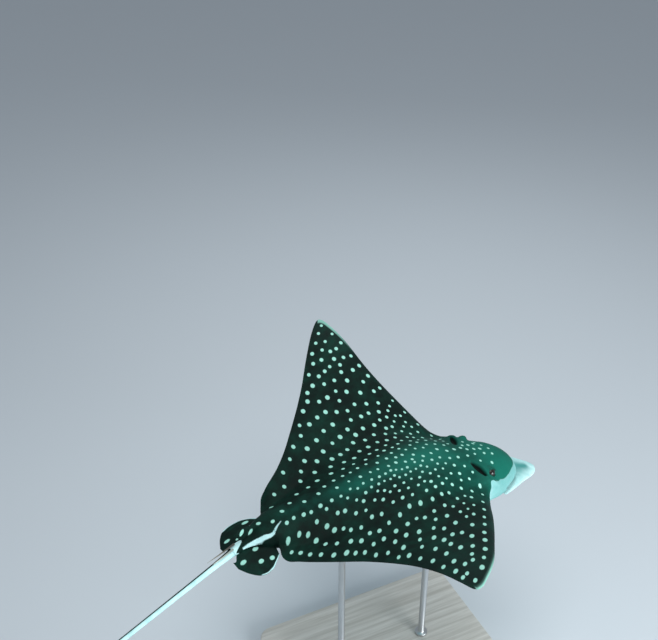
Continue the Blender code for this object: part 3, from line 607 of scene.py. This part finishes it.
def spotSpacing(back, out):
    # wide in the wings and over the hips, closer on the shoulders, the ridge and the head
    near = ease((0.19 - out) / 0.17) * ease((0.56 - back) / 0.18)
    near = np.maximum(near, ease((0.33 - out) / 0.15) * ease((0.37 - back) / 0.1))
    space = spots["spacing"] + (spots["shoulderSpacing"] - spots["spacing"]) * near
    ridge = bump(out, 0.04) * ease((back - 0.2) / 0.06) * ease((0.56 - back) / 0.12)
    space += (spots["ridgeSpacing"] - space) * ridge
    return space + (spots["headSpacing"] - space) * ease((0.21 - back) / 0.04)


def spotCrowding(back, out, side):
    # factor on the gaps of one side: smaller over the hips, smaller or larger at the tip
    hips = ease((back - 0.42) / 0.14) * ease((0.36 - out) / 0.12)
    tips = ease((out - 0.24) / 0.12)
    return (1 - spots["hipCloser"][side] * hips) * (1 + spots["tipWider"][side] * tips)


def hasSpots(back, out):
    # nowhere on the white front of the head, the spiracles or the flanks of the tail
    flat = np.stack([back, out], axis=1)
    inside = (out < halfSpan(back) - spots["outlineGap"]) & (back > 0.112 + 0.65 * out) & (back < 0.634)
    inside &= back - frontEdge(out) > np.where(out > 0.1, 1.75 * spots["edgeGap"], spots["frontGap"])
    inside &= (rearEdge(out) - back > spots["rearGap"]) & ((out < 0.045) | (back > 0.187))
    inside &= nearPath(flat, head["streak"])[0] > spots["streakGap"]
    inside &= nearPath(flat, head["spiracle"])[0] > spots["spiracleGap"]
    return inside & (np.hypot(back - head["eye"][0], out - head["eye"][1]) >= spots["eyeGap"])


def sweepScale(side):
    # table of the distance along the sweep, and the same distance with the spots' stretch
    # taken out of it: the stretch grows from the shoulder to the outer wing
    along = np.linspace(-0.3, 0.9, 1201)
    first, last = spots["stretch"][side]
    stretch = first + (last - first) * ease((along - 0.15) / 0.18)
    return along, np.cumsum(1 / stretch) * (along[1] - along[0]), stretch


def scatterSpots():
    # evenly spread centres on each half of the back, worked out with the stretch taken out:
    # random points weighted by 1 / spacing^4 are gathered round the centres, and each
    # centre moves to the middle of its own points, many times over
    chance = np.random.default_rng(spots["seed"])
    found = []
    sweep = np.array(spots["sweep"]) / math.hypot(*spots["sweep"])
    normal = np.array([sweep[1], -sweep[0]])
    low, high = (0.1, 0.0), (0.72, 0.5)
    area = (high[0] - low[0]) * (high[1] - low[1])
    for side, sign in ((0, 1), (1, -1)):
        along, evened, stretch = sweepScale(side)
        flat = np.stack([chance.uniform(low[k], high[k], spots["cloud"]) for k in (0, 1)], axis=1)
        flat = flat[hasSpots(flat[:, 0], flat[:, 1])]
        space = spotSpacing(flat[:, 0], flat[:, 1]) * spotCrowding(flat[:, 0], flat[:, 1], side)
        local = np.interp(flat @ sweep, along, stretch)
        # as many as hexagons of this spacing fit in
        count = int(area * len(flat) / spots["cloud"] * np.mean(1 / (0.866 * space ** 2 * local)))
        count = int(count * spots["sideCount"][side])
        dense = space ** -4 / local
        thin = space ** -2 / local
        chosen = chance.choice(len(flat), spots["samples"], p=dense / dense.sum())
        start = chance.choice(len(flat), count, p=thin / thin.sum(), replace=False)
        warped = np.stack([np.interp(flat @ sweep, along, evened), flat @ normal], axis=1)
        cloud, centres = warped[chosen], warped[start]
        for _ in range(spots["rounds"]):
            nearest = nearestCentre(cloud, centres)
            total = np.bincount(nearest, minlength=count)
            sums = np.stack([np.bincount(nearest, cloud[:, k], count) for k in (0, 1)], axis=1)
            centres = np.where(total[:, None] > 0, sums / np.maximum(total, 1)[:, None], centres)
        centres = centres + chance.normal(0, spots["jitter"], centres.shape)
        places = np.interp(centres[:, 0], evened, along)[:, None] * sweep + centres[:, 1:] * normal
        # one more row follows the leading edge
        outs = np.arange(*spots["edgeRow"], spots["edgeStep"])
        outs = outs + chance.normal(0, 0.002, len(outs))
        rowBack = frontEdge(outs) + spots["edgeGap"] + chance.normal(0, 0.001, len(outs))
        row = np.stack([rowBack, outs], axis=1)
        places = np.concatenate([places, row, [spots["saddle"]]] if sign > 0 else [places, row])
        count = len(places)
        space = spotSpacing(places[:, 0], places[:, 1])
        share = ease((space - spots["ridgeSpacing"]) / (spots["spacing"] - spots["ridgeSpacing"]))
        radius = spots["smallRadius"] + (spots["radius"] - spots["smallRadius"]) * share
        radius = radius * chance.uniform(*spots["radiusRange"], count)
        # on the body every spot is drawn out alike, on the wing by its place on the sweep
        outer = np.interp(places @ sweep, along, stretch) * spots["shapeGain"][side]
        drawn = spots["bodyStretch"] + (outer - spots["bodyStretch"]) * ease((places[:, 1] - 0.06) / 0.16)
        found.append(np.stack([places[:, 0], sign * places[:, 1], radius, np.full(count, sweep[0]),
                               np.full(count, sign * sweep[1]), drawn], axis=1))
    found = np.concatenate(found)
    return found[:, :2], found[:, 2], found[:, 3:5], found[:, 5]


def nearestCentre(points, centres):
    # which centre is nearest to each point, worked out in blocks
    result = []
    for low in range(0, len(points), spots["block"]):
        part = points[low:low + spots["block"], None, :]
        gap = (part[..., 0] - centres[:, 0]) ** 2 + (part[..., 1] - centres[:, 1]) ** 2
        result.append(np.argmin(gap, axis=1))
    return np.concatenate(result)


finSpots = dict(
    finLeft=[(0.692, 0.023), (0.712, 0.038), (0.663, 0.058)],
    finRight=[(0.686, -0.05), (0.68, -0.0225), (0.7165, -0.03), (0.658, -0.056)],
    dorsal=[(0.673, 0.019), (0.688, 0.031)], radius=0.0043, along=(1.0, 0.0), stretch=1.5,
    dorsalRadius=0.0036, dorsalAlong=(-0.6, 0.8), dorsalStretch=2.1,
)


def spotOffsets(flat, faces, isPainted, centres, radius, sweep, stretch):
    # for each corner of each face: its offset from the spot nearest to the face's middle,
    # in that spot's radii, shortened along its sweep; corners of unpainted faces are far
    # from any
    count = len(centres)
    radius = np.broadcast_to(radius, count)
    sweep = np.broadcast_to(sweep, (count, 2))
    sweep = sweep / np.linalg.norm(sweep, axis=1)[:, None]
    stretch = np.broadcast_to(stretch, count)
    nearest = nearestCentre(flat[faces].mean(axis=1), centres)
    offset = (flat[faces] - centres[nearest][:, None, :]) / radius[nearest][:, None, None]
    along = (offset * sweep[nearest][:, None, :]).sum(axis=2)
    offset = offset - (along * (1 - 1 / stretch[nearest])[:, None])[..., None] * sweep[nearest][:, None, :]
    offset[~isPainted] = spots["farAway"]
    return np.concatenate([offset, np.zeros(offset.shape[:2] + (1,))], axis=2).reshape(-1, 3)


def skinPiece():
    # joins the shells into one mesh and stores the values that its paint reads
    shells = {"body": bodyShell(), "lobe": lobeShell(),
              "finLeft": pelvicShell(1), "finRight": pelvicShell(-1),
              "dorsal": dorsalFinShell(), "tail": tailShell(),
              "lidLeft": lidShell(1), "lidRight": lidShell(-1)}
    centres, radius, sweep, stretch = scatterSpots()
    print("spots on the back:", len(centres))
    main = shells["body"]
    middle = main.points[main.faces].mean(axis=1)
    top, bottom = bodyHeights(middle[:, 0], np.abs(middle[:, 1]))
    offsets = {name: np.full((len(shell.faces) * 4, 3), spots["farAway"]) for name, shell in shells.items()}
    isBack = middle[:, 2] > 0.5 * (top + bottom)
    offsets["body"] = spotOffsets(main.points[:, :2], main.faces, isBack, centres, radius, sweep, stretch)
    for name in ("finLeft", "finRight"):
        fin = shells[name]
        painted = fin.paint[fin.faces][:, :, 0].mean(axis=1) < 0.004
        offsets[name] = spotOffsets(fin.points[:, :2], fin.faces, painted, np.array(finSpots[name]),
                                    finSpots["radius"], finSpots["along"], finSpots["stretch"])
    dorsal = shells["dorsal"]
    offsets["dorsal"] = spotOffsets(dorsal.points[:, [0, 2]], dorsal.faces, np.full(len(dorsal.faces), True),
                                    np.array(finSpots["dorsal"]), finSpots["dorsalRadius"],
                                    finSpots["dorsalAlong"], finSpots["dorsalStretch"])
    points, faces, paint, shift = [], [], [], 0
    for shell in shells.values():
        points.append(shell.points)
        faces.append(shell.faces + shift)
        paint.append(shell.paint)
        shift += len(shell.points)
    straight = np.concatenate(points)
    skin = meshPiece("ray_skin", bendBody(straight), np.concatenate(faces))
    paint = np.concatenate(paint)
    setAttribute(skin, "straightPlace", straight)
    for k, name in enumerate(("paleField", "greenTintAndPaintedLight", "paleRim", "paintedShade")):
        setAttribute(skin, name, paint[:, k] * (100 if name == "paleField" else 1))
    setAttribute(skin, "spotOffset", np.concatenate(list(offsets.values())), "CORNER")
    return skin


class Signal:
    # an output socket that can be used in sums, also behind a number
    def __init__(self, graph, socket):
        self.graph = graph
        self.socket = socket

    def combine(self, operation, first, second):
        # one arithmetic node of two values
        return self.graph.node("ShaderNodeMath", {"operation": operation}, {0: first, 1: second})

    def __add__(self, other):
        return self.combine("ADD", self, other)

    __radd__ = __add__

    def __sub__(self, other):
        return self.combine("SUBTRACT", self, other)

    def __rsub__(self, other):
        return self.combine("SUBTRACT", other, self)

    def __mul__(self, other):
        return self.combine("MULTIPLY", self, other)

    __rmul__ = __mul__


class Paint:
    # a material and its nodes
    def __init__(self, name):
        self.material = bpy.data.materials.new(name)
        self.material.use_nodes = True
        self.tree = self.material.node_tree
        self.shader = self.tree.nodes["Principled BSDF"]

    def node(self, kind, settings=None, inputs=None, output=0):
        # a new node with these settings and inputs; gives one of its outputs
        made = self.tree.nodes.new(kind)
        for key, value in (settings or {}).items():
            setattr(made, key, value)
        for key, value in (inputs or {}).items():
            self.feed(made.inputs[key], value)
        return Signal(self, made.outputs[output])

    def feed(self, socket, value):
        # links a signal to the socket, or sets its value
        if isinstance(value, Signal):
            self.tree.links.new(value.socket, socket)
        else:
            isColour = isinstance(value, tuple) and socket.type == "RGBA"
            socket.default_value = (*value, 1.0) if isColour else value

    def attribute(self, name, output="Fac"):
        # a value stored on the mesh
        return self.node("ShaderNodeAttribute", {"attribute_name": name}, output=output)

    def place(self):
        # the place in the object's own metres
        return self.node("ShaderNodeTexCoord", output="Object")

    def noise(self, where, scale, detail=3.0, rough=0.55):
        # layered noise, around a half
        return self.node("ShaderNodeTexNoise", {}, {"Vector": where, "Scale": scale, "Detail": detail,
                                                    "Roughness": rough})

    def cells(self, where, scale):
        # distance to the nearest of scattered points
        return self.node("ShaderNodeTexVoronoi", {"feature": "F1"}, {"Vector": where, "Scale": scale},
                         "Distance")

    def stretched(self, where, scale):
        # the place times a factor for each axis
        return self.node("ShaderNodeMapping", {}, {"Vector": where, "Scale": scale})

    def smooth(self, value, low, high):
        # 0 below low, 1 above high, and 3x^2 - 2x^3 between
        return self.node("ShaderNodeMapRange", {"interpolation_type": "SMOOTHSTEP"},
                         {0: value, 1: low, 2: high, 3: 0.0, 4: 1.0})

    def blend(self, share, first, second):
        # the first colour where share is 0, the second where it is 1
        return self.node("ShaderNodeMix", {"data_type": "RGBA"}, {0: share, 6: first, 7: second}, 2)

    def relief(self, height, strength, distance, under=None):
        # a bumped surface over another one
        inputs = {"Height": height, "Strength": strength, "Distance": distance}
        if under is not None:
            inputs["Normal"] = under
        return self.node("ShaderNodeBump", {}, inputs)

    def finish(self, inputs):
        # feeds the surface shader
        for key, value in inputs.items():
            self.feed(self.shader.inputs[key], value)
        return self.material


skinLook = dict(
    black=(0.003, 0.01, 0.008), deepGreen=(0.004, 0.026, 0.018), seaGreen=(0.009, 0.145, 0.105),
    spot=(0.42, 0.8, 0.68), spotHeart=(0.31, 0.66, 0.55), white=(0.6, 0.89, 0.89),
    greyWhite=(0.4, 0.7, 0.7), lobeDusk=(0.03, 0.26, 0.24), tailDark=(0.02, 0.05, 0.045),
    paintedShade=(0.004, 0.008, 0.007), rough=0.55, spotEdge=0.2, specular=0.07,
)


def skinMaterial():
    # dark or sea-green back with pale spots, blended by the attributes with the whites
    look = skinLook
    paint = Paint("ray_skin_paint")
    where = paint.attribute("straightPlace", "Vector")
    broad = paint.noise(where, 14.0, 3.0)
    middle = paint.noise(where, 60.0, 4.0)
    fine = paint.noise(where, 420.0, 3.0)
    back = paint.node("ShaderNodeSeparateXYZ", {}, {"Vector": where})
    # the sea-green share is partly the back's own colour and partly painted light on the ridge and shoulders
    tintAndPaintedLight = paint.attribute("greenTintAndPaintedLight")
    green = paint.smooth(tintAndPaintedLight + (broad - 0.5) * 0.5 + (middle - 0.5) * 0.25, 0.0, 1.0)
    base = paint.blend(paint.smooth(broad * 0.6 + middle * 0.4, 0.35, 0.68), look["black"],
                       look["deepGreen"])
    base = paint.blend(green, base, look["seaGreen"])
    # spots: discs round their centres, with a slightly uneven edge and a pale grey-green heart
    offset = paint.attribute("spotOffset", "Vector")
    reach = paint.node("ShaderNodeVectorMath", {"operation": "LENGTH"}, {0: offset}, "Value")
    ragged = reach + (fine - 0.5) * 0.3 + (middle - 0.5) * 0.22
    disc = 1 - paint.smooth(ragged, 1.0 - look["spotEdge"], 1.0 + look["spotEdge"])
    spotColour = paint.blend(paint.smooth(fine, 0.3, 0.75), look["spotHeart"], look["spot"])
    # pale underside, head front, tail flanks and tail
    field = paint.attribute("paleField")
    pale = paint.smooth(field + (middle - 0.5) * 0.35 + (fine - 0.5) * 0.15, -0.1, 0.1)
    whiteColour = paint.blend(paint.smooth(broad * 0.5 + middle * 0.5, 0.4, 0.7), look["white"],
                              look["greyWhite"])
    whiteColour = paint.blend(tintAndPaintedLight * pale * 0.9, whiteColour, look["lobeDusk"])
    # the tail darkens behind, first in dashes, then whole
    tailShare = paint.smooth(back + (middle - 0.5) * 0.1, 1.32, 1.66)
    dashes = paint.noise(paint.stretched(where, (22.0, 3.0, 3.0)), 1.0, 1.0)
    dash = paint.smooth(dashes + tailShare * 0.75, 0.72, 0.8) * paint.smooth(back, 0.95, 1.25)
    whiteColour = paint.blend(dash, whiteColour, look["tailDark"])
    skinColour = paint.blend(disc, base, spotColour)
    colour = paint.blend(pale, skinColour, whiteColour)
    colour = paint.blend(paint.attribute("paleRim") * 0.8, colour, look["spotHeart"])
    # painted shade in the spiracles, gill slits, mouth, nostrils, the lobe's crease and the lid margins
    colour = paint.blend(paint.attribute("paintedShade"), colour, look["paintedShade"])
    # fine grain, shallow pores, and long low ripples over the wing's muscles
    grain = paint.cells(where, 620.0)
    ripple = paint.noise(paint.stretched(where, (55.0, 9.0, 9.0)), 1.0, 2.0)
    height = paint.relief(ripple, 0.25, 0.004)
    height = paint.relief(middle, 0.2, 0.002, height)
    height = paint.relief(grain, 0.16, 0.0006, height)
    rough = look["rough"] + (middle - 0.5) * 0.18 + disc * 0.06
    return paint.finish({"Base Color": colour, "Roughness": rough, "Normal": height,
                         "Specular IOR Level": look["specular"]})


eyeLook = dict(iris=(0.008, 0.008, 0.007), ring=(0.026, 0.022, 0.014), pupil=(0.002, 0.002, 0.003),
               white=(0.02, 0.03, 0.03), pupilAngle=0.35, whiteAngle=0.79)


def eyePiece(name, sign):
    # a ball with a low clear bulge over the iris, drawn as rings round the gaze
    rings, sides = 48, 64
    angle = np.linspace(0.004, np.pi - 0.004, rings)[:, None]
    turn = ringTurn(sides)[None, :]
    radius = head["eyeRadius"] * (0.965 + 0.035 * bump(angle, 0.62))
    points = roundEye(radius, angle, turn, sign)
    eye = meshPiece(name, bendBody(points), tubeFaces(rings, sides)[:, ::sign])
    setAttribute(eye, "gazeAngle", np.repeat(angle, sides, axis=1).ravel())
    setAttribute(eye, "wheelPlace", asPoints(np.cos(turn) * angle, np.sin(turn) * angle, 0.0))
    return eye


def eyeMaterial():
    # pupil, iris and rim by the angle from the gaze
    paint = Paint("ray_eye_paint")
    angle = paint.attribute("gazeAngle")
    wheel = paint.attribute("wheelPlace", "Vector")
    fleck = paint.noise(wheel, 26.0, 4.0)
    streak = paint.noise(paint.stretched(wheel, (5.0, 18.0, 1.0)), 2.0, 3.0)
    iris = paint.blend(paint.smooth(fleck * 0.6 + streak * 0.4, 0.42, 0.62), eyeLook["iris"],
                       eyeLook["ring"])
    edge = eyeLook["pupilAngle"]
    pupilEdge = paint.smooth(angle + (fleck - 0.5) * 0.03, edge - 0.02, edge + 0.02)
    colour = paint.blend(pupilEdge, eyeLook["pupil"], iris)
    edge = eyeLook["whiteAngle"]
    colour = paint.blend(paint.smooth(angle, edge - 0.05, edge + 0.05), colour, eyeLook["white"])
    bumpy = paint.relief(fleck, 0.05, 0.0003)
    return paint.finish({"Base Color": colour, "Roughness": 0.1 + fleck * 0.05, "Coat Weight": 0.35,
                         "Coat Roughness": 0.04, "Specular IOR Level": 0.3, "Normal": bumpy})


spines = dict(upper=(0.708, 0.064, 0.0042, 0.0085), lower=(0.716, 0.05, -0.0042, 0.005),
              clearance=0.0019, wide=0.0026, thick=0.0011, teeth=22, toothDepth=0.22, rings=220, sides=14)
spineLook = dict(duskyFoot=(0.06, 0.06, 0.05), duskyTip=(0.24, 0.22, 0.17), foot=(0.34, 0.4, 0.36),
                 tip=(0.58, 0.6, 0.52), streak=(0.08, 0.075, 0.06), rough=0.38)


def topOfTail(back):
    # height of the body's ridge over the middle line, and further back the tail's radius
    onBody = curveThrough(body["backTop"], back) + 0.5 * body["edgeThickness"]
    return np.where(back < 0.72, onBody, curveThrough(body["tailRadius"], back))


def spinePiece(name, start, length, side, lift):
    # a flat tapering barb with backward teeth along both sides, grooved along the middle
    part = np.linspace(0.0, 1.0, spines["rings"])
    back = start + length * part
    middle = topOfTail(back) + spines["clearance"] + lift * part
    wide = spines["wide"] * (1 - 0.93 * part ** 1.6)
    saw = (part * spines["teeth"]) % 1.0
    wide = wide * (1 - spines["toothDepth"] * (1 - saw) * ease((part - 0.12) / 0.1)
                   * ease((0.97 - part) / 0.05))
    thick = spines["thick"] * (1 - 0.8 * part ** 1.6)
    sides = spines["sides"]
    turn = ringTurn(sides)
    groove = 1 - 0.35 * bump(np.cos(turn), 0.35) * (np.sin(turn) > 0)
    points = asPoints(back[:, None], side + 0.97 * wide[:, None] * np.cos(turn),
                      middle[:, None] + 0.97 * thick[:, None] * np.sin(turn) * groove)
    spine = meshPiece(name, bendBody(points), tubeFaces(len(part), sides))
    setAttribute(spine, "alongSpine", np.repeat(part, sides))
    setAttribute(spine, "duskySpine", np.full(len(points), 1.0 if side > 0 else 0.0))
    return spine


def spineMaterial():
    # bone that pales from foot to tip, dusky on one of the two spines
    paint = Paint("spine_bone_paint")
    along = paint.attribute("alongSpine")
    where = paint.place()
    grain = paint.noise(where, 900.0, 3.0)
    streak = paint.noise(where, 220.0, 4.0)
    toTip = paint.smooth(along + (grain - 0.5) * 0.3, 0.1, 0.9)
    dusky = paint.blend(toTip, spineLook["duskyFoot"], spineLook["duskyTip"])
    clean = paint.blend(toTip, spineLook["foot"], spineLook["tip"])
    colour = paint.blend(paint.attribute("duskySpine"), clean, dusky)
    colour = paint.blend(paint.smooth(streak, 0.55, 0.75) * 0.4, colour, spineLook["streak"])
    rough = spineLook["rough"] + streak * 0.2
    return paint.finish({"Base Color": colour, "Roughness": rough,
                         "Normal": paint.relief(grain, 0.3, 0.0002)})


stand = dict(corner=0.05, bevel=0.004, cornerSteps=14, endInset=0.04, rodSides=64,
             padRadius=0.026, rodRadius=0.011)
boardLook = dict(pale=(0.62, 0.6, 0.56), dark=(0.42, 0.4, 0.36), pore=(0.3, 0.28, 0.25), rough=0.42)
steelLook = dict(pale=(0.6, 0.61, 0.62), dark=(0.5, 0.51, 0.52), rough=0.24)


def basePiece():
    # the base board: a rounded rectangle raised through a list of insets, so that its
    # upper and lower edges are softly rounded
    low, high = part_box("stand_base")
    halfX = (high.x - low.x) / 2 - stand["corner"]
    halfY = (high.y - low.y) / 2 - stand["corner"]
    quarter = np.linspace(0.0, 0.5 * np.pi, stand["cornerSteps"])
    angle = np.concatenate([quarter + k * 0.5 * np.pi for k in range(4)])
    signX = np.repeat([1, -1, -1, 1], len(quarter))
    signY = np.repeat([1, 1, -1, -1], len(quarter))
    soft = np.linspace(0.0, 0.5 * np.pi, 7)
    inset = np.concatenate([stand["bevel"] * (1 - np.sin(soft)), stand["bevel"] * (1 - np.cos(soft))])
    rise = np.concatenate([low.z + stand["bevel"] * (1 - np.cos(soft)),
                           high.z - stand["bevel"] * (1 - np.sin(soft))])
    inset = np.concatenate([[stand["endInset"]], inset, [stand["endInset"]]])
    rise = np.concatenate([[low.z], rise, [high.z]])
    radius = stand["corner"] - inset[:, None]
    x = signX * halfX + radius * np.cos(angle)
    y = signY * halfY + radius * np.sin(angle)
    return meshPiece("stand_base_board", asPoints(x, y, rise[:, None]), tubeFaces(len(inset), len(angle)))


def rodPiece(name, node):
    # a turned steel rod with a screwed collar at its foot and a round pad under the belly
    low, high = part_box(node)
    x, y = (low.x + high.x) / 2, (low.y + high.y) / 2
    pad, rod = stand["padRadius"], stand["rodRadius"]
    profile = np.array([
        (0.0, low.z), (2 * rod - 0.001, low.z), (2 * rod, low.z + 0.001), (2 * rod, low.z + 0.008),
        (2 * rod - 0.0012, low.z + 0.009), (rod + 0.0022, low.z + 0.0105), (rod, low.z + 0.013),
        (rod, high.z - 0.02), (rod + 0.002, high.z - 0.0165), (pad - 0.003, high.z - 0.0068),
        (pad - 0.0006, high.z - 0.0058), (pad, high.z - 0.0048), (pad, high.z - 0.001),
        (pad - 0.001, high.z), (0.0, high.z)])
    turn = ringTurn(stand["rodSides"])
    radius = np.maximum(profile[:, 0], 0.0005)[:, None]
    points = asPoints(x + radius * np.cos(turn), y + radius * np.sin(turn), profile[:, 1][:, None])
    return meshPiece(name, points, tubeFaces(len(profile), stand["rodSides"]))


def boardMaterial():
    # long grain along the board with fine pores
    paint = Paint("stand_board_paint")
    where = paint.place()
    grain = paint.noise(paint.stretched(where, (60.0, 2.2, 60.0)), 1.0, 6.0, 0.62)
    pores = paint.noise(paint.stretched(where, (900.0, 30.0, 900.0)), 1.0, 2.0)
    colour = paint.blend(paint.smooth(grain, 0.3, 0.72), boardLook["pale"], boardLook["dark"])
    colour = paint.blend(paint.smooth(pores, 0.62, 0.78) * 0.5, colour, boardLook["pore"])
    height = paint.relief(grain + pores * 0.5, 0.12, 0.0008)
    rough = boardLook["rough"] + grain * 0.15
    return paint.finish({"Base Color": colour, "Roughness": rough, "Normal": height})


def steelMaterial():
    # turned steel: fine rings along the rod's axis and a faint smudge
    paint = Paint("stand_steel_paint")
    where = paint.place()
    brushed = paint.noise(paint.stretched(where, (6.0, 6.0, 900.0)), 1.0, 3.0)
    smudge = paint.noise(where, 30.0, 3.0)
    colour = paint.blend(smudge, steelLook["pale"], steelLook["dark"])
    rough = steelLook["rough"] + brushed * 0.16 + smudge * 0.06
    return paint.finish({"Base Color": colour, "Metallic": 1.0, "Roughness": rough,
                         "Normal": paint.relief(brushed, 0.08, 0.0002)})


print("skin")
skin = skinPiece()
skin.data.materials.append(skinMaterial())
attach(skin, "root")
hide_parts("head", "snout_lobe", "trunk", "wing_left", "wing_right", "pelvic_fin_left",
            "pelvic_fin_right", "dorsal_fin", "tail_base", "tail_root", "tail_middle", "tail_whip")

print("eyes and spines")
eyePaint = eyeMaterial()
for name, sign in (("eye_left", 1), ("eye_right", -1)):
    eye = eyePiece(name + "_ball", sign)
    eye.data.materials.append(eyePaint)
    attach(eye, "root")
    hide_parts(name)
spinePaint = spineMaterial()
for name in ("upper", "lower"):
    spine = spinePiece("tail_spine_" + name + "_barb", *spines[name])
    spine.data.materials.append(spinePaint)
    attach(spine, "root")
    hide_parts("tail_spine_" + name)

print("stand")
board = basePiece()
board.data.materials.append(boardMaterial())
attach(board, "root")
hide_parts("stand_base")
steel = steelMaterial()
for name in ("front", "rear"):
    rod = rodPiece("stand_rod_" + name + "_turned", "stand_rod_" + name)
    rod.data.materials.append(steel)
    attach(rod, "root")
    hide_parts("stand_rod_" + name)

print("stage")
studio = dict(floorHalf=30.0, floorColour=(0.6, 0.64, 0.68), floorShade=(0.58, 0.6, 0.62),
              skyColour=(0.78, 0.86, 0.94), skyStrength=0.42)
lights = [
    dict(name="overhead", place=(-0.6, 0.2, 4.4), aim=(0.0, 0.0, 0.7), size=3.0, power=88.0,
         colour=(0.95, 1.0, 1.0)),
    dict(name="side", place=(-3.4, -1.4, 0.95), aim=(0.0, -0.3, 0.7), size=2.4, power=150.0,
         colour=(0.92, 0.98, 1.0)),
    dict(name="back", place=(2.6, -1.8, 3.2), aim=(0.0, 0.0, 0.7), size=2.2, power=22.0,
         colour=(0.92, 0.98, 1.0)),
]
view = dict(place=(-2.031, 1.164, 2.864), heading=-25.32, pitch=32.4, lens=54.71, sensor=36.0)

half = studio["floorHalf"]
floor = meshPiece("floor", [(-half, -half, -0.0005), (half, -half, -0.0005), (half, half, -0.0005),
                            (-half, half, -0.0005)], [(0, 1, 2, 3)], smooth=False)
floorPaint = Paint("floor_paint")
floorCloud = floorPaint.noise(floorPaint.place(), 0.8, 2.0)
floorColour = floorPaint.blend(floorCloud * 0.2, studio["floorColour"], studio["floorShade"])
floorPaint.finish({"Base Color": floorColour, "Roughness": 0.9, "Specular IOR Level": 0.1})
floor.data.materials.append(floorPaint.material)

world = bpy.data.worlds.new("studio")
world.use_nodes = True
world.node_tree.nodes["Background"].inputs["Color"].default_value = (*studio["skyColour"], 1.0)
world.node_tree.nodes["Background"].inputs["Strength"].default_value = studio["skyStrength"]
bpy.context.scene.world = world


def aimAt(place, aim):
    # the turn that points an object's own -Z from place towards aim
    run = np.array(aim) - np.array(place)
    flat = math.hypot(run[0], run[1])
    return (math.atan2(flat, -run[2]), 0.0, math.atan2(run[0], -run[1]) + math.pi)


for lamp in lights:
    data = bpy.data.lights.new(lamp["name"], "AREA")
    data.shape = "DISK"
    data.size = lamp["size"]
    data.energy = lamp["power"]
    data.color = lamp["colour"]
    item = bpy.data.objects.new(lamp["name"], data)
    item.location = lamp["place"]
    item.rotation_euler = aimAt(lamp["place"], lamp["aim"])
    item.visible_camera = False
    bpy.context.scene.collection.objects.link(item)

cameraData = bpy.data.cameras.new("camera")
cameraData.lens = view["lens"]
cameraData.sensor_width = view["sensor"]
cameraData.sensor_fit = "HORIZONTAL"
camera = bpy.data.objects.new("camera", cameraData)
camera.location = view["place"]
camera.rotation_euler = (math.radians(90 - view["pitch"]), 0.0, math.radians(view["heading"] - 90))
bpy.context.scene.collection.objects.link(camera)
bpy.context.scene.camera = camera
bpy.context.scene.view_settings.view_transform = "Standard"
